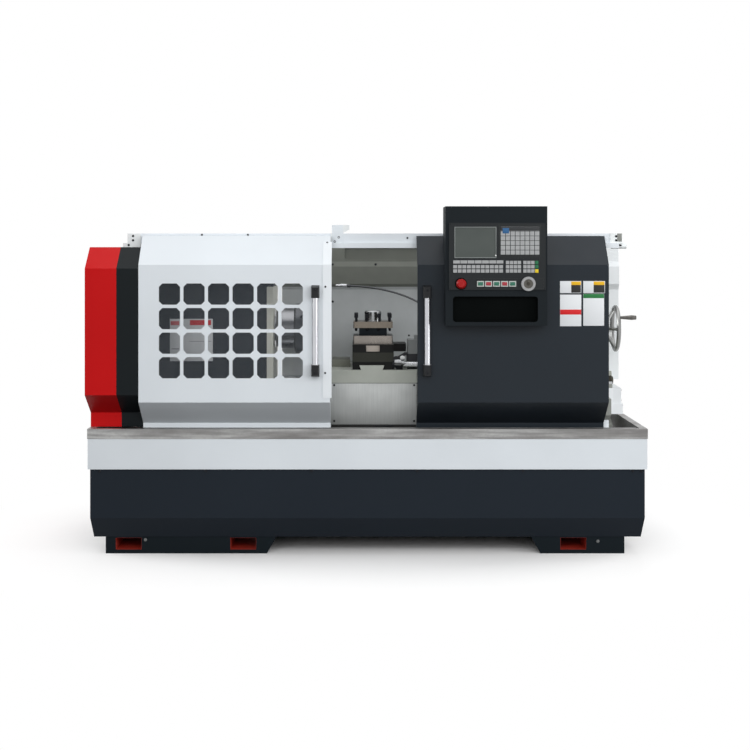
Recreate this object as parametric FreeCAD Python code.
import FreeCAD, Part
import math
import os

# Flat-bed CNC turning lathe. Millimetres. X runs along the spindle to the tailstock, measured from
# the middle of the chip tray. Y runs to the back, measured from the tray's front face. Z is up from
# the floor. At the end everything is shifted so that the origin is the middle of the footprint.

V = FreeCAD.Vector

# ---- sheet, seats and running clearances ----
SHEET = 3.0                      # folded guard and base sheet
RUN_GAP = 0.3                    # between pieces that slide or swing past each other
TAPER_SIDES = 24                 # flats round a slim taper
SHAFT_GAP = 0.05                 # radial clearance of a turning shaft

# ---- spindle axis and the bed ways ----
SPINDLE_Y = 650.0
SPINDLE_Z = 1016.0
SWING_RADIUS = 250.0             # spindle axis above the ways
BED_WIDTH = 400.0
BED_LENGTH = 2223.0
BED_COVER_GAP = 25.0             # bed's left end behind the end covers
RAIL_WIDTH = 150.0               # each of the two ways
WAY_THICK = 60.0                 # hardened top flange of a way
BED_FOOT_THICK = 45.0
WEB_THICK = 40.0
RIB_THICK = 26.0
RIB_COUNT = 7
VEE_HALF_WIDTH = 16.0
VEE_HEIGHT = 14.0
VEE_SIDE_GAP = 2.0               # room over the vee that a piece doesn't ride on
OUTER_VEE_OFFSET = 35.0          # from the bed's front face: the saddle's vee
INNER_VEE_OFFSET = 122.0         # the tailstock's vee
END_CAP_DEPTH = 51.0
END_CAP_STEP = 7.0               # the cap's upper part is shallower by this
END_CAP_DROP = 32.0              # cap's top under the ways
END_CAP_UPPER_HEIGHT = 75.0
END_CAP_LOWER_HEIGHT = 52.0

# ---- base: chip tray, white band, dark skirt and the two cast pedestals ----
TRAY_LENGTH = 2580.0
TRAY_DEPTH = 1250.0
TRAY_FLOOR_Z = 515.0
RIM_TOP_Z = 586.0
RIM_HEIGHT = 46.0
RIM_WIDTH = 30.0
BAND_BOTTOM_Z = 400.0
BAND_INSET = 2.0                 # band behind the rim's face
SKIRT_INSET = 12.0               # skirt behind the rim's face
SKIRT_BEND_Z = 174.0             # where the skirt starts to tuck under
SKIRT_TUCK_Y = 53.0
SKIRT_TUCK_X = 60.0
FOOT_HEIGHT = 79.0
FOOT_INSET_Y = 70.0              # feet behind the tray's front and rear faces
LEFT_FOOT_INSET = 74.0           # outer ends of the feet from the tray's ends
RIGHT_FOOT_INSET = 96.0
LEFT_FOOT_LENGTH = 793.0
RIGHT_FOOT_LENGTH = 434.0
FOOT_CUTBACK = 44.0              # how far the inner end slopes back down to the floor
PEDESTAL_STEP = 42.0             # pedestal wall behind the foot's edge
CAST_WALL = 22.0
POCKET_WIDTH = 120.0             # fork-lift pockets
POCKET_BOTTOM_Z = 18.0
POCKET_WALL = 6.0
LEFT_POCKETS = (106.5, 639.0)    # pocket middles from the foot's outer end
RIGHT_POCKETS = (237.5,)
ANCHOR_RADIUS = 11.0
ANCHOR_INSET_Y = 80.0            # anchor holes behind the column's front and rear faces
LEFT_ANCHORS = (236.0, 516.0)    # anchor holes from the foot's outer end
RIGHT_ANCHORS = (104.0,)
ANCHOR_PAD = 50.0
ANCHOR_PAD_THICK = 25.0
TRACK_Y = 88.0                   # lower door track that stands in the tray
TRACK_WIDTH = 13.0

# ---- guards: one folded outline for the doors, one for the end covers ----
DOOR_FRONT_Y = -60.0
DOOR_LIP_Y = 95.0
DOOR_EDGE_Y = 70.0
DOOR_RIM_OVERLAP = 4.0           # the doors' lower lip stands this far inside the tray
DOOR_LIP_HEIGHT = 22.0
DOOR_LOWER_BEND_Z = 714.0
DOOR_UPPER_BEND_Z = 1342.0
DOOR_TOP_Z = 1475.0
DOOR_RETURN = 24.0               # folded edge at each end of a door
DOOR_END_GAP = 3.0               # between the left door and the end covers
LEFT_DOOR_WIDTH = 874.0
DOORWAY = 399.0                  # open stretch between the doors as they stand
RIGHT_DOOR_WIDTH = 873.0
HANGER_WIDTH = 60.0
HANGER_INSET = 90.0
HANGER_HEIGHT = 33.0

WINDOW_COLUMNS = 6
WINDOW_ROWS = 4
WINDOW_SIZE = 97.0
WINDOW_PITCH = 112.0
WINDOW_CORNER = 16.0
WINDOW_LEFT = 93.0               # from the door's left edge to the first window
WINDOW_TOP_DROP = 85.0           # under the door's upper bend
PANE_MARGIN = 22.0
PANE_THICK = 4.0
STRIP_WIDTH = 40.0
STRIP_LIFT = 21.0                # above the door's lower bend
STRIP_TOP_RUN = 0.78             # share of the door's sloping top that the strip covers
STRIP_OVERHANG = 7.0

COVER_LIP_HEIGHT = 66.0
COVER_LOWER_BEND_Z = 747.0
COVER_UPPER_BEND_Z = 1325.0
COVER_REAR_INSET = 100.0         # in front of the tray's rear face
RED_COVER_WIDTH = 144.0
BLACK_COVER_WIDTH = 98.0
COVER_HOLE_GAP = 8.0             # round the shafts that pass the inner wall

HANDLE_RADIUS = 13.5
HANDLE_STAND_OFF = 47.0          # bar's axis in front of the door
HANDLE_END_WIDTH = 36.0
HANDLE_END_HEIGHT = 57.0
HANDLE_END_DEPTH = 65.0
HANDLE_END_TAPER = 9.0           # end blocks are lower in front by this
HANDLE_CORNER = 4.0              # cut corners of the end blocks, across and along
HANDLE_CORNER_DEPTH = 12.0
HANDLE_LIFT = 118.0              # above the door's lower bend
HANDLE_HEIGHT = 417.0
LEFT_HANDLE_INSET = 66.0         # from the left door's right edge
RIGHT_HANDLE_INSET = 43.0        # from the right door's left edge

# ---- top beam and the rear guard ----
BEAM_FRONT_Y = 120.0
BEAM_DEPTH = 50.0
BEAM_HEIGHT = 45.0
BEAM_LENGTH = 2297.0
BEAM_OVERHANG = 77.0             # beyond the left door's outer edge
RAIL_BAR_HEIGHT = 23.0
RAIL_BAR_DEPTH = 16.0
BRACKET_THICK = 4.0
LEFT_PLATE_WIDTH = 62.0
LEFT_FOOT_REACH = 22.0           # bracket foot beyond the beam's end
BEAM_FOOT_HEIGHT = 19.0          # foot of the beam's left bracket, on the end covers' top
RIGHT_PLATE_WIDTH = 56.0
RIGHT_PLATE_REACH = 16.0
STUB_RADIUS = 13.0
STUB_LENGTH = 70.0
STUB_REACH = 40.0
ARM_WIDTH = 45.0
CLIP_WIDTH = 52.0                # middle clip on the left door's closing edge
CLIP_HOOK_WIDTH = 34.0
CLIP_HOOK_HEIGHT = 40.0
CLIP_HOOK_THICK = 20.0
GUARD_BED_GAP = 30.0             # guard behind the bed
GUARD_HEAD_GAP = 21.0            # guard's left end beside the headstock
GUARD_OVERHANG = 12.0            # beyond the tray's right end
GUARD_STEP = 20.0
GUARD_NOTCH_WIDTH = 152.0        # at its right end the guard stays above the tray
GUARD_NOTCH_Z = 742.0
GUARD_COLUMN_WIDTH = 60.0
GUARD_FOLDS_Z = (1206.0, 1235.0, 1325.0, 1350.0)
RECESS_LEFT_X = -116.0
RECESS_LENGTH = 1180.0
RECESS_LIFT = 10.0               # above the guard's last fold
RECESS_HEIGHT = 66.0
RECESS_DEPTH = 40.0
RECESS_CORNER = 16.0

# ---- headstock, spindle, chuck and the belt drive ----
HEAD_LENGTH = 562.0
HEAD_RISE = 214.0                # casing above the spindle axis
HEAD_WALL = 40.0
HEAD_SIDE_WALL = 28.0
HEAD_COVER_THICK = 18.0
HEAD_LIP_HEIGHT = 12.0
HEAD_LIP_WIDTH = 10.0
HEAD_BOSS_RADIUS = 40.0
HEAD_BOSS_HEIGHT = 34.0
BEARING_RADIUS = 95.0
BEARING_WIDTH = 40.0
SPINDLE_RADIUS = 60.0
SPINDLE_BORE = 41.0
SPINDLE_TAIL = 6.0               # spindle beyond its pulley
NOSE_RADIUS = 100.0
NOSE_LENGTH = 91.0
NOSE_TAPER = 26.0
NOSE_TAPER_RISE = 12.0
NOSE_GAP = 6.0
CHUCK_RADIUS = 125.0
CHUCK_LENGTH = 118.0
CHUCK_BORE = 44.0
CHUCK_BACK_CHAMFER = 8.0
CHUCK_FACE_CHAMFER = 5.0
KEY_SOCKET_RADIUS = 9.0
KEY_SOCKET_DEPTH = 24.0
JAW_COUNT = 3
JAW_WIDTH = 26.0
JAW_SLOT_DEPTH = 30.0
JAW_REACH = 40.0                 # how far the jaws stand out of the chuck's face
JAW_INNER = 46.0
JAW_LENGTH = 62.0
JAW_STEPS = 3
PULLEY_WALL_GAP = 11.0           # between the pulley and the end cover's wall
PULLEY_WIDTH = 60.0
FLANGE_THICK = 4.0
FLANGE_RISE = 12.0
SPINDLE_PULLEY_RADIUS = 140.0
MOTOR_PULLEY_RADIUS = 75.0
BELT_THICK = 8.0
BELT_SIDE_GAP = 1.0
MOTOR_OFFSET_Y = 370.0           # motor's axis behind and below the spindle's
MOTOR_DROP = 56.0
MOTOR_SETBACK = 23.0
MOTOR_RADIUS = 112.0
MOTOR_LENGTH = 400.0
MOTOR_SHAFT_RADIUS = 19.0
MOTOR_SHAFT_DEPTH = 60.0
MOTOR_FINS = 18
MOTOR_FIN_RISE = 10.0
MOTOR_FIN_THICK = 5.0
MOTOR_FLANGE = 40.0              # plain length before the fins
MOTOR_COWL = 60.0                # fan cowl at the far end
MOTOR_FOOT_HEIGHT = 18.0
MOTOR_FOOT_WIDTH = 50.0
MOTOR_FOOT_OFFSET = 40.0
MOTOR_FOOT_INSET = 60.0
TERMINAL_WIDTH = 110.0
TERMINAL_LENGTH = 120.0
TERMINAL_RISE = 62.0
SHELF_THICK = 30.0
SHELF_INSET = 40.0
SHELF_LENGTH = 300.0

# ---- carriage, cross slide and tool turret ----
CARRIAGE_X = 28.0
SADDLE_LENGTH = 420.0
SADDLE_FRONT_REACH = 100.0       # saddle in front of the bed
SADDLE_REAR_REACH = 5.0
SADDLE_HEIGHT = 64.0             # saddle's top above the ways
BRIDGE_LENGTH = 250.0
APRON_DROP = 199.0
APRON_GAP = 4.0                  # apron and nut lug in front of the bed
NUT_LUG_WIDTH = 100.0
NUT_LUG_HALF_DEPTH = 32.0
NUT_LUG_DROP = 34.0
REST_INSET = 8.0                 # raised rest at the saddle's left rear
REST_DEPTH = 180.0
REST_OVERLAP = 30.0              # onto the rear wing
REST_HEIGHT = 38.0
REST_GAP = 10.0                  # beside the cross slide
DOVETAIL_OFFSET = -6.0           # from the carriage's middle
DOVETAIL_TOP_WIDTH = 120.0
DOVETAIL_FOOT_WIDTH = 104.0
DOVETAIL_HEIGHT = 22.0
SLIDE_WIDTH = 200.0
SLIDE_LENGTH = 440.0
SLIDE_REACH = 150.0              # slide's front end before the turret's axis
SLIDE_HEIGHT = 121.0
SLIDE_BAND = 38.0                # height of the broader top band
SLIDE_WING = 62.0                # the band's reach to the tailstock side
SLIDE_WING_FRONT = 60.0
SLIDE_WING_REAR = 100.0
TURRET_OFFSET_Y = 130.0          # turret's axis in front of the spindle's
TURRET_SIZE = 192.0
TURRET_LOWER = 40.0
TURRET_SLOT = 38.0
TURRET_UPPER = 30.0
TURRET_CORE = 68.0
TURRET_CORNER = 5.0
CLAMP_BOLT_HEAD_WIDTH = 14.4
CLAMP_BOLT_STEM = 6.0
CLAMP_BOLT_RISE = 38.0
CLAMP_BOLT_HEAD = 16.0
CLAMP_BOLT_EDGE = 14.0           # bolt's middle from the turret's side
CAP_RADIUS = 38.0
CAP_HEIGHT = 52.0
CAP_CONE_HEIGHT = 14.0
CAP_CONE_RUN = 16.0
X_MOTOR_SIZE = 95.0
X_MOTOR_LENGTH = 150.0
X_MOTOR_OVERLAP = 40.0           # how far the motor lies over the saddle's wing
X_MOTOR_FRONT = 52.0             # behind the saddle's front face
X_MOTOR_LIFT = 75.0              # above the saddle
X_MOTOR_HEIGHT = 68.0
X_SEAT_MARGIN = 4.0
X_PLUG_SIZE = (32.0, 40.0, 22.0)
X_PLUG_PLACE = (30.0, 12.0)

# ---- longitudinal screw ----
SCREW_FRONT_GAP = 50.0           # screw's axis in front of the bed
SCREW_DROP = 116.0               # and under the ways
SCREW_RADIUS = 16.0
SCREW_BLOCK = 80.0
SCREW_BLOCK_LENGTH = 40.0
SCREW_LEFT_INSET = 173.0         # screw's ends from the bed's ends
SCREW_RIGHT_INSET = 20.0
Z_MOTOR_SIZE = 98.0
Z_MOTOR_LENGTH = 150.0
Z_MOTOR_CAP_LENGTH = 30.0
Z_MOTOR_CAP_STEP = 10.0

# ---- tailstock ----
TAIL_LEFT_X = 880.0
TAIL_LENGTH = 300.0
TAIL_BASE_HEIGHT = 70.0
TAIL_BASE_INSET = 20.0
TAIL_COLUMN_INSET = 30.0
TAIL_BASE_FRONT = 60.0           # base behind the bed's front face
TAIL_BASE_REAR = 8.0
TAIL_WIDTH = 240.0
TAIL_WAIST = 0.86                # waist as a share of the barrel
TAIL_WAIST_LIFT = 70.0
TAIL_STUD_RADIUS = 22.0
TAIL_STUD_REACH = 26.0
TAIL_STUD_LIFT = 24.0
BARREL_RADIUS = 68.0
QUILL_RADIUS = 35.0
QUILL_REACH = 80.0               # quill in front of the barrel at rest
QUILL_END_GAP = 10.0
CENTRE_RADIUS = 22.0
CENTRE_LENGTH = 82.0
CENTRE_SHANK = 18.0
CENTRE_TIP = 1.0
CENTRE_SHOULDER = 0.5
WHEEL_OFFSET = 68.0              # rim's plane beyond the tailstock
WHEEL_RADIUS = 117.5
WHEEL_RIM = 11.0
WHEEL_SPOKES = 3
RIM_SIDES = 8                    # flats round the rim's section
HUB_RADIUS = 26.0
HUB_LENGTH = 34.0
FEED_RADIUS = 13.0               # quill's screw
FEED_LENGTH = 120.0
FEED_SIDE_GAP = 2.0
SPOKE_RADIUS = 8.0
GRIP_ANGLE = 33.0
SPOKE_ANGLE = 90.0
GRIP_LENGTH = 77.0
GRIP_ROOT = 7.0
GRIP_END = 12.0
GRIP_PIN = 4.0
GRIP_CAP = 10.0                  # closed end of the grip past its pin
LEVER_INSET = 22.0               # from the tailstock's right end
LEVER_BOSS_RADIUS = 19.0
LEVER_BOSS_RISE = 10.0
LEVER_HUB_RADIUS = 15.0
LEVER_HUB_HEIGHT = 24.0
LEVER_LENGTH = 105.0
LEVER_ROOT = 6.0
LEVER_END = 8.0
LEVER_KNOB = 12.0
LEVER_KNOB_LENGTH = 47.0
LEVER_TILT = 28.0

# ---- control box on the right door ----
BOX_INSET = 122.0                # from the right door's left edge
BOX_WIDTH = 457.0
BOX_BOTTOM_Z = 1069.0
BOX_HEIGHT = 537.0
BOX_DEPTH = 110.0
BOX_BACK_REACH = 100.0           # over the door's sloping top
PANEL_INSET = 15.0
PANEL_WIDTH = 434.0
PANEL_LIFT = 161.0
PANEL_HEIGHT = 301.0
PANEL_THICK = 8.0
PANEL_LAP = 12.0                 # panel's rim over the box's window
SCREEN_INSET = 28.0
SCREEN_LIFT = 147.0
SCREEN_WIDTH = 181.0
SCREEN_HEIGHT = 133.0
SCREEN_RECESS = 4.0
SCREEN_THICK = 2.5
KEY_RISE = 2.5
SLOT_INSET = 33.0
SLOT_LIFT = 17.0
SLOT_WIDTH = 382.0
SLOT_HEIGHT = 115.0
SLOT_DEPTH = 34.0
SLOT_CORNER = 14.0
CONTROL_LIFT = 28.0              # row of buttons above the panel's lower edge
STOP_INSET = 54.0
STOP_RADIUS = 22.5
STOP_HEAD = 19.0
STOP_LIFT = 12.0                 # head in front of the panel
STOP_STEM = 11.0
STOP_BRIM = 0.4                  # share of the head behind its widest place
STOP_TAPER = 7.0
BUTTON_INSET = 141.0
BUTTON_PITCH = 36.0
BUTTON_COUNT = 5
BUTTON_WIDTH = 31.0
BUTTON_HEIGHT = 25.0
BUTTON_RISE = 6.0
DIAL_INSET = 355.0
DIAL_RADIUS = 32.0
DIAL_RISE = 14.0
DIAL_RIM = 11.0
DIAL_WELL = 5.0
DIAL_FINGER_RADIUS = 5.0
DIAL_FINGER_OFFSET = 12.0
DIAL_FINGER_RISE = 4.0
DIAL_SHAFT = 8.0

# ---- coolant line ----
PIPE_INSET = 33.0                # behind the saddle's front face
PIPE_LIFT = 25.0                 # above the saddle
PIPE_RADIUS = 13.0
PIPE_START = 118.0               # from the carriage's middle
PIPE_LENGTH = 172.0
VALVE_WIDTH = 32.0
VALVE_DEPTH = 40.0
VALVE_OVERLAP = 6.0
VALVE_RISE = 8.0
TAP_RADIUS = 7.0
TAP_HEIGHT = 42.0
HOSE_RADIUS = 5.0
NOZZLE_RADIUS = 9.0
NOZZLE_LENGTH = 52.0
NOZZLE_OVERLAP = 8.0
NOZZLE_TIP = 24.0
HOSE_STEPS = (                   # hose points from the pipe's end
    (0, 0, 0), (34, 1, 25), (46, 9, 85), (44, 24, 147), (27, 53, 207), (-8, 95, 257), (-60, 149, 295),
    (-120, 195, 323), (-188, 231, 345), (-262, 262, 361), (-336, 287, 371), (-410, 307, 374),
)

# ---- coolant tank and pump in the base ----
TANK_LEFT_X = -330.0
TANK_LENGTH = 1000.0
TANK_FRONT_Y = 200.0
TANK_DEPTH = 880.0
TANK_HEIGHT = 220.0
PUMP_INSET_X = 140.0             # pump's axis from the tank's right and rear walls
PUMP_INSET_Y = 130.0
PUMP_RADIUS = 58.0
PUMP_HEIGHT = 150.0
PUMP_PLATE = 8.0
PUMP_PLATE_LEFT = 110.0
PUMP_PLATE_FRONT = 90.0
PUMP_STEM_RADIUS = 31.9
PUMP_STEM_LENGTH = 176.0

# ---- electrical cabinet on the back ----
CABINET_LEFT_X = -300.0
CABINET_WIDTH = 800.0
CABINET_DEPTH = 300.0
CABINET_BOTTOM_Z = 80.0
CABINET_TOP_Z = 1400.0
PLINTH_INSET = 20.0
PLINTH_WALL = 6.0
CABINET_DOOR_DEPTH = 18.0
CABINET_DOOR_GAP = 1.0
HINGE_RADIUS = 7.0
HINGE_LENGTH = 60.0
HINGE_INSET = 200.0              # hinges from the cabinet's top and bottom
HINGE_LEAF = 20.0
LATCH_INSET = 45.0
LATCH_RADIUS = 17.0
LATCH_DEPTH = 14.0
LATCH_BAR_WIDTH = 14.0
LATCH_BAR_DOWN = 46.0
LATCH_BAR_UP = 12.0
LATCH_NECK = 2.0
DRIVE_COUNT = 3
DRIVE_WIDTH = 150.0
DRIVE_DEPTH = 160.0
DRIVE_HEIGHT = 340.0
DRIVE_SLOTS = 5
DRIVE_SLOT_FIRST = 20.0
DRIVE_SLOT_PITCH = 24.0
DRIVE_SLOT_WIDTH = 12.0

# ---- places worked out from the sizes above ----
TRAY_HALF = TRAY_LENGTH / 2
COVERS_RIGHT_X = -TRAY_HALF + RED_COVER_WIDTH + BLACK_COVER_WIDTH
COVER_REAR_Y = TRAY_DEPTH - COVER_REAR_INSET
BED_LEFT_X = COVERS_RIGHT_X + BED_COVER_GAP
BED_RIGHT_X = BED_LEFT_X + BED_LENGTH
BED_TOP_Z = SPINDLE_Z - SWING_RADIUS
BED_FRONT_Y = SPINDLE_Y - BED_WIDTH / 2
BED_REAR_Y = SPINDLE_Y + BED_WIDTH / 2
WAY_Z = BED_TOP_Z + RUN_GAP
FOOT_FRONT_Y = FOOT_INSET_Y
FOOT_REAR_Y = TRAY_DEPTH - FOOT_INSET_Y
FOOT_LEFT_X = -TRAY_HALF + LEFT_FOOT_INSET
FOOT_RIGHT_X = TRAY_HALF - RIGHT_FOOT_INSET
LEFT_DOOR_X = COVERS_RIGHT_X + DOOR_END_GAP
RIGHT_DOOR_X = LEFT_DOOR_X + LEFT_DOOR_WIDTH + DOORWAY
DOOR_BOTTOM_Z = RIM_TOP_Z - DOOR_RIM_OVERLAP
BEAM_BOTTOM_Z = DOOR_TOP_Z - HANGER_HEIGHT
BEAM_TOP_Z = BEAM_BOTTOM_Z + BEAM_HEIGHT
COVER_TOP_Z = BEAM_BOTTOM_Z - BEAM_FOOT_HEIGHT
BEAM_LEFT_X = LEFT_DOOR_X - BEAM_OVERHANG
BEAM_RIGHT_X = BEAM_LEFT_X + BEAM_LENGTH
HANGER_REAR_Y = BEAM_FRONT_Y - BRACKET_THICK - 1 - RUN_GAP   # doors clear the beam's plates
GUARD_Y = BED_REAR_Y + GUARD_BED_GAP
GUARD_RIGHT_X = TRAY_HALF + GUARD_OVERHANG
HEAD_LEFT_X = BED_LEFT_X
HEAD_RIGHT_X = HEAD_LEFT_X + HEAD_LENGTH
HEAD_TOP_Z = SPINDLE_Z + HEAD_RISE
GUARD_LEFT_X = HEAD_RIGHT_X + GUARD_HEAD_GAP
CHUCK_LEFT_X = HEAD_RIGHT_X + NOSE_GAP + NOSE_LENGTH
CHUCK_FACE_X = CHUCK_LEFT_X + CHUCK_LENGTH
PULLEY_LEFT_X = COVERS_RIGHT_X - SHEET - PULLEY_WALL_GAP - PULLEY_WIDTH
SPINDLE_LEFT_X = PULLEY_LEFT_X - SPINDLE_TAIL
MOTOR_LEFT_X = BED_LEFT_X + MOTOR_SETBACK
MOTOR_Y = SPINDLE_Y + MOTOR_OFFSET_Y
MOTOR_Z = SPINDLE_Z - MOTOR_DROP
MOTOR_BASE_Z = MOTOR_Z - MOTOR_RADIUS - MOTOR_FIN_RISE - MOTOR_FOOT_HEIGHT
SADDLE_LEFT_X = CARRIAGE_X - SADDLE_LENGTH / 2
SADDLE_RIGHT_X = CARRIAGE_X + SADDLE_LENGTH / 2
SADDLE_FRONT_Y = BED_FRONT_Y - SADDLE_FRONT_REACH
SADDLE_REAR_Y = BED_REAR_Y + SADDLE_REAR_REACH
SADDLE_TOP_Z = BED_TOP_Z + SADDLE_HEIGHT
SLIDE_TOP_Z = SADDLE_TOP_Z + SLIDE_HEIGHT
DOVETAIL_X = CARRIAGE_X + DOVETAIL_OFFSET
TURRET_Y = SPINDLE_Y - TURRET_OFFSET_Y
SLIDE_FRONT_Y = TURRET_Y - SLIDE_REACH
TURRET_TOP_Z = SLIDE_TOP_Z + RUN_GAP + TURRET_LOWER + TURRET_SLOT + TURRET_UPPER
X_MOTOR_LEFT_X = SADDLE_RIGHT_X - X_MOTOR_OVERLAP
X_MOTOR_FRONT_Y = SADDLE_FRONT_Y + X_MOTOR_FRONT
X_MOTOR_BOTTOM_Z = SADDLE_TOP_Z + X_MOTOR_LIFT
SCREW_Y = BED_FRONT_Y - SCREW_FRONT_GAP
SCREW_Z = BED_TOP_Z - SCREW_DROP
SCREW_LEFT_X = BED_LEFT_X + SCREW_LEFT_INSET
SCREW_RIGHT_X = BED_RIGHT_X - SCREW_RIGHT_INSET
TAIL_RIGHT_X = TAIL_LEFT_X + TAIL_LENGTH
WHEEL_X = TAIL_RIGHT_X + WHEEL_OFFSET
LEVER_X = TAIL_RIGHT_X - LEVER_INSET
LEVER_Z = SPINDLE_Z + BARREL_RADIUS + LEVER_BOSS_RISE
BOX_LEFT_X = RIGHT_DOOR_X + BOX_INSET
BOX_FRONT_Y = DOOR_FRONT_Y - BOX_DEPTH
PANEL_LEFT_X = BOX_LEFT_X + PANEL_INSET
PANEL_BOTTOM_Z = BOX_BOTTOM_Z + PANEL_LIFT
PANEL_FRONT_Y = BOX_FRONT_Y - PANEL_THICK
SCREEN_X = PANEL_LEFT_X + SCREEN_INSET
SCREEN_Z = PANEL_BOTTOM_Z + SCREEN_LIFT
SLOT_X = BOX_LEFT_X + SLOT_INSET
SLOT_Z = BOX_BOTTOM_Z + SLOT_LIFT
CONTROL_Z = PANEL_BOTTOM_Z + CONTROL_LIFT
STOP_X = PANEL_LEFT_X + STOP_INSET
STOP_FRONT_Y = PANEL_FRONT_Y - STOP_LIFT - STOP_HEAD
BUTTON_FIRST_X = PANEL_LEFT_X + BUTTON_INSET
DIAL_X = PANEL_LEFT_X + DIAL_INSET
PIPE_LEFT_X = CARRIAGE_X + PIPE_START
PIPE_Y = SADDLE_FRONT_Y + PIPE_INSET
PIPE_Z = SADDLE_TOP_Z + PIPE_LIFT
TANK_RIGHT_X = TANK_LEFT_X + TANK_LENGTH
TANK_REAR_Y = TANK_FRONT_Y + TANK_DEPTH
CABINET_RIGHT_X = CABINET_LEFT_X + CABINET_WIDTH
CABINET_FRONT_Y = TRAY_DEPTH
CABINET_REAR_Y = CABINET_FRONT_Y + CABINET_DEPTH
LATCH_FRONT_Y = CABINET_REAR_Y + RUN_GAP + CABINET_DOOR_DEPTH + RUN_GAP
LATCH_REAR_Y = LATCH_FRONT_Y + LATCH_DEPTH
GRIP_END_X = WHEEL_X + WHEEL_RIM + GRIP_LENGTH
ORIGIN_X = (GRIP_END_X - TRAY_HALF) / 2
ORIGIN_Y = (LATCH_REAR_Y + STOP_FRONT_Y) / 2
ALONG_X = V(1, 0, 0)
ALONG_Y = V(0, 1, 0)
ALONG_Z = V(0, 0, 1)


# ---- small shape makers ----
def block(x0, x1, y0, y1, z0, z1):
    return Part.makeBox(x1 - x0, y1 - y0, z1 - z0, V(x0, y0, z0))


def rod(radius, start, end):
    run = end - start
    return Part.makeCylinder(radius, run.Length, start, run)


def cone(start_radius, end_radius, start, end):
    run = end - start
    return Part.makeCone(start_radius, end_radius, run.Length, start, run)


def taper(start_radius, end_radius, start, end):
    """Slim frustum with TAPER_SIDES flat sides."""
    upright = FreeCAD.Rotation(ALONG_Z, end - start)
    rims = []
    for centre, radius in ((start, start_radius), (end, end_radius)):
        angles = [2 * math.pi * i / TAPER_SIDES for i in range(TAPER_SIDES)]
        rims.append([centre + upright.multVec(V(math.cos(a), math.sin(a), 0) * radius) for a in angles])
    low, high = rims
    sides = [[low[i - 1], low[i], high[i], high[i - 1]] for i in range(TAPER_SIDES)]
    faces = [Part.Face(Part.makePolygon(points + [points[0]])) for points in [low, high] + sides]
    solid = Part.makeSolid(Part.makeShell(faces))
    if solid.Volume < 0:
        solid.reverse()
    return solid


def turned(outline, y, z):
    """Solid of revolution about the X axis line through y, z, from (x, radius) points."""
    points = [V(x, y, z + radius) for x, radius in outline]
    face = Part.Face(Part.makePolygon(points + [points[0]]))
    return face.revolve(V(0, y, z), ALONG_X, 360)


def prism_x(outline, x0, x1):
    points = [V(x0, y, z) for y, z in outline]
    return Part.Face(Part.makePolygon(points + [points[0]])).extrude(V(x1 - x0, 0, 0))


def prism_y(outline, y0, y1):
    points = [V(x, y0, z) for x, z in outline]
    return Part.Face(Part.makePolygon(points + [points[0]])).extrude(V(0, y1 - y0, 0))


def prism_z(outline, z0, z1):
    points = [V(x, y, z0) for x, y in outline]
    return Part.Face(Part.makePolygon(points + [points[0]])).extrude(V(0, 0, z1 - z0))


def clipped(x0, x1, z0, z1, corner):
    """Corner points of a rectangle with cut corners."""
    return [
        (x0 + corner, z0), (x1 - corner, z0), (x1, z0 + corner), (x1, z1 - corner),
        (x1 - corner, z1), (x0 + corner, z1), (x0, z1 - corner), (x0, z0 + corner),
    ]


def offset_line(points, distance):
    """Open polyline moved sideways by a distance, with mitred corners (to the right of its run)."""
    moved = []
    for i, (a, b) in enumerate(points):
        normals = []
        for p, q in ((points[i - 1], points[i]) if i else (None, None),
                     (points[i], points[i + 1]) if i < len(points) - 1 else (None, None)):
            if p:
                length = math.hypot(q[0] - p[0], q[1] - p[1])
                normals.append(((q[1] - p[1]) / length, -(q[0] - p[0]) / length))
        u = sum(n[0] for n in normals) / len(normals)
        w = sum(n[1] for n in normals) / len(normals)
        stretch = distance / (u * u + w * w)
        moved.append((a + u * stretch, b + w * stretch))
    return moved


def folded(points, thick):
    """Section of a folded sheet whose outer side follows the points."""
    return points + offset_line(points, thick)[::-1]


def ring(x0, x1, y0, y1, z0, z1, wall):
    return block(x0, x1, y0, y1, z0, z1).cut(
        block(x0 + wall, x1 - wall, y0 + wall, y1 - wall, z0, z1))


def rounded_block(x0, x1, y0, y1, z0, z1, radius, axis):
    """Block whose edges along one axis are rounded."""
    shape = block(x0, x1, y0, y1, z0, z1)
    edges = [e for e in shape.Edges if abs(e.tangentAt(e.FirstParameter).dot(axis)) > 0.99]
    return shape.makeFillet(radius, edges)


def round_route(points, radius):
    """Round bar along a route: straight runs joined by tangent arcs."""
    edges, start = [], points[0]
    for before, corner, after in zip(points, points[1:], points[2:]):
        back, ahead = (before - corner).normalize(), (after - corner).normalize()
        turn = math.pi - back.getAngle(ahead)
        shorter = min((before - corner).Length, (after - corner).Length)
        reach = 0.45 * shorter
        arc_start, arc_end = corner + back * reach, corner + ahead * reach
        arc_radius = reach / math.tan(turn / 2)
        towards = (back + ahead).normalize()
        middle = corner + towards * (math.hypot(arc_radius, reach) - arc_radius)
        edges.append(Part.LineSegment(start, arc_start).toShape())
        edges.append(Part.Arc(arc_start, middle, arc_end).toShape())
        start = arc_end
    edges.append(Part.LineSegment(start, points[-1]).toShape())
    profile = Part.Wire(Part.makeCircle(radius, points[0], points[1] - points[0]))
    return Part.Wire(edges).makePipeShell([profile], True, False)


def fuse(shapes):
    return shapes[0].multiFuse(shapes[1:]).removeSplitter() if len(shapes) > 1 else shapes[0]


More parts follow.
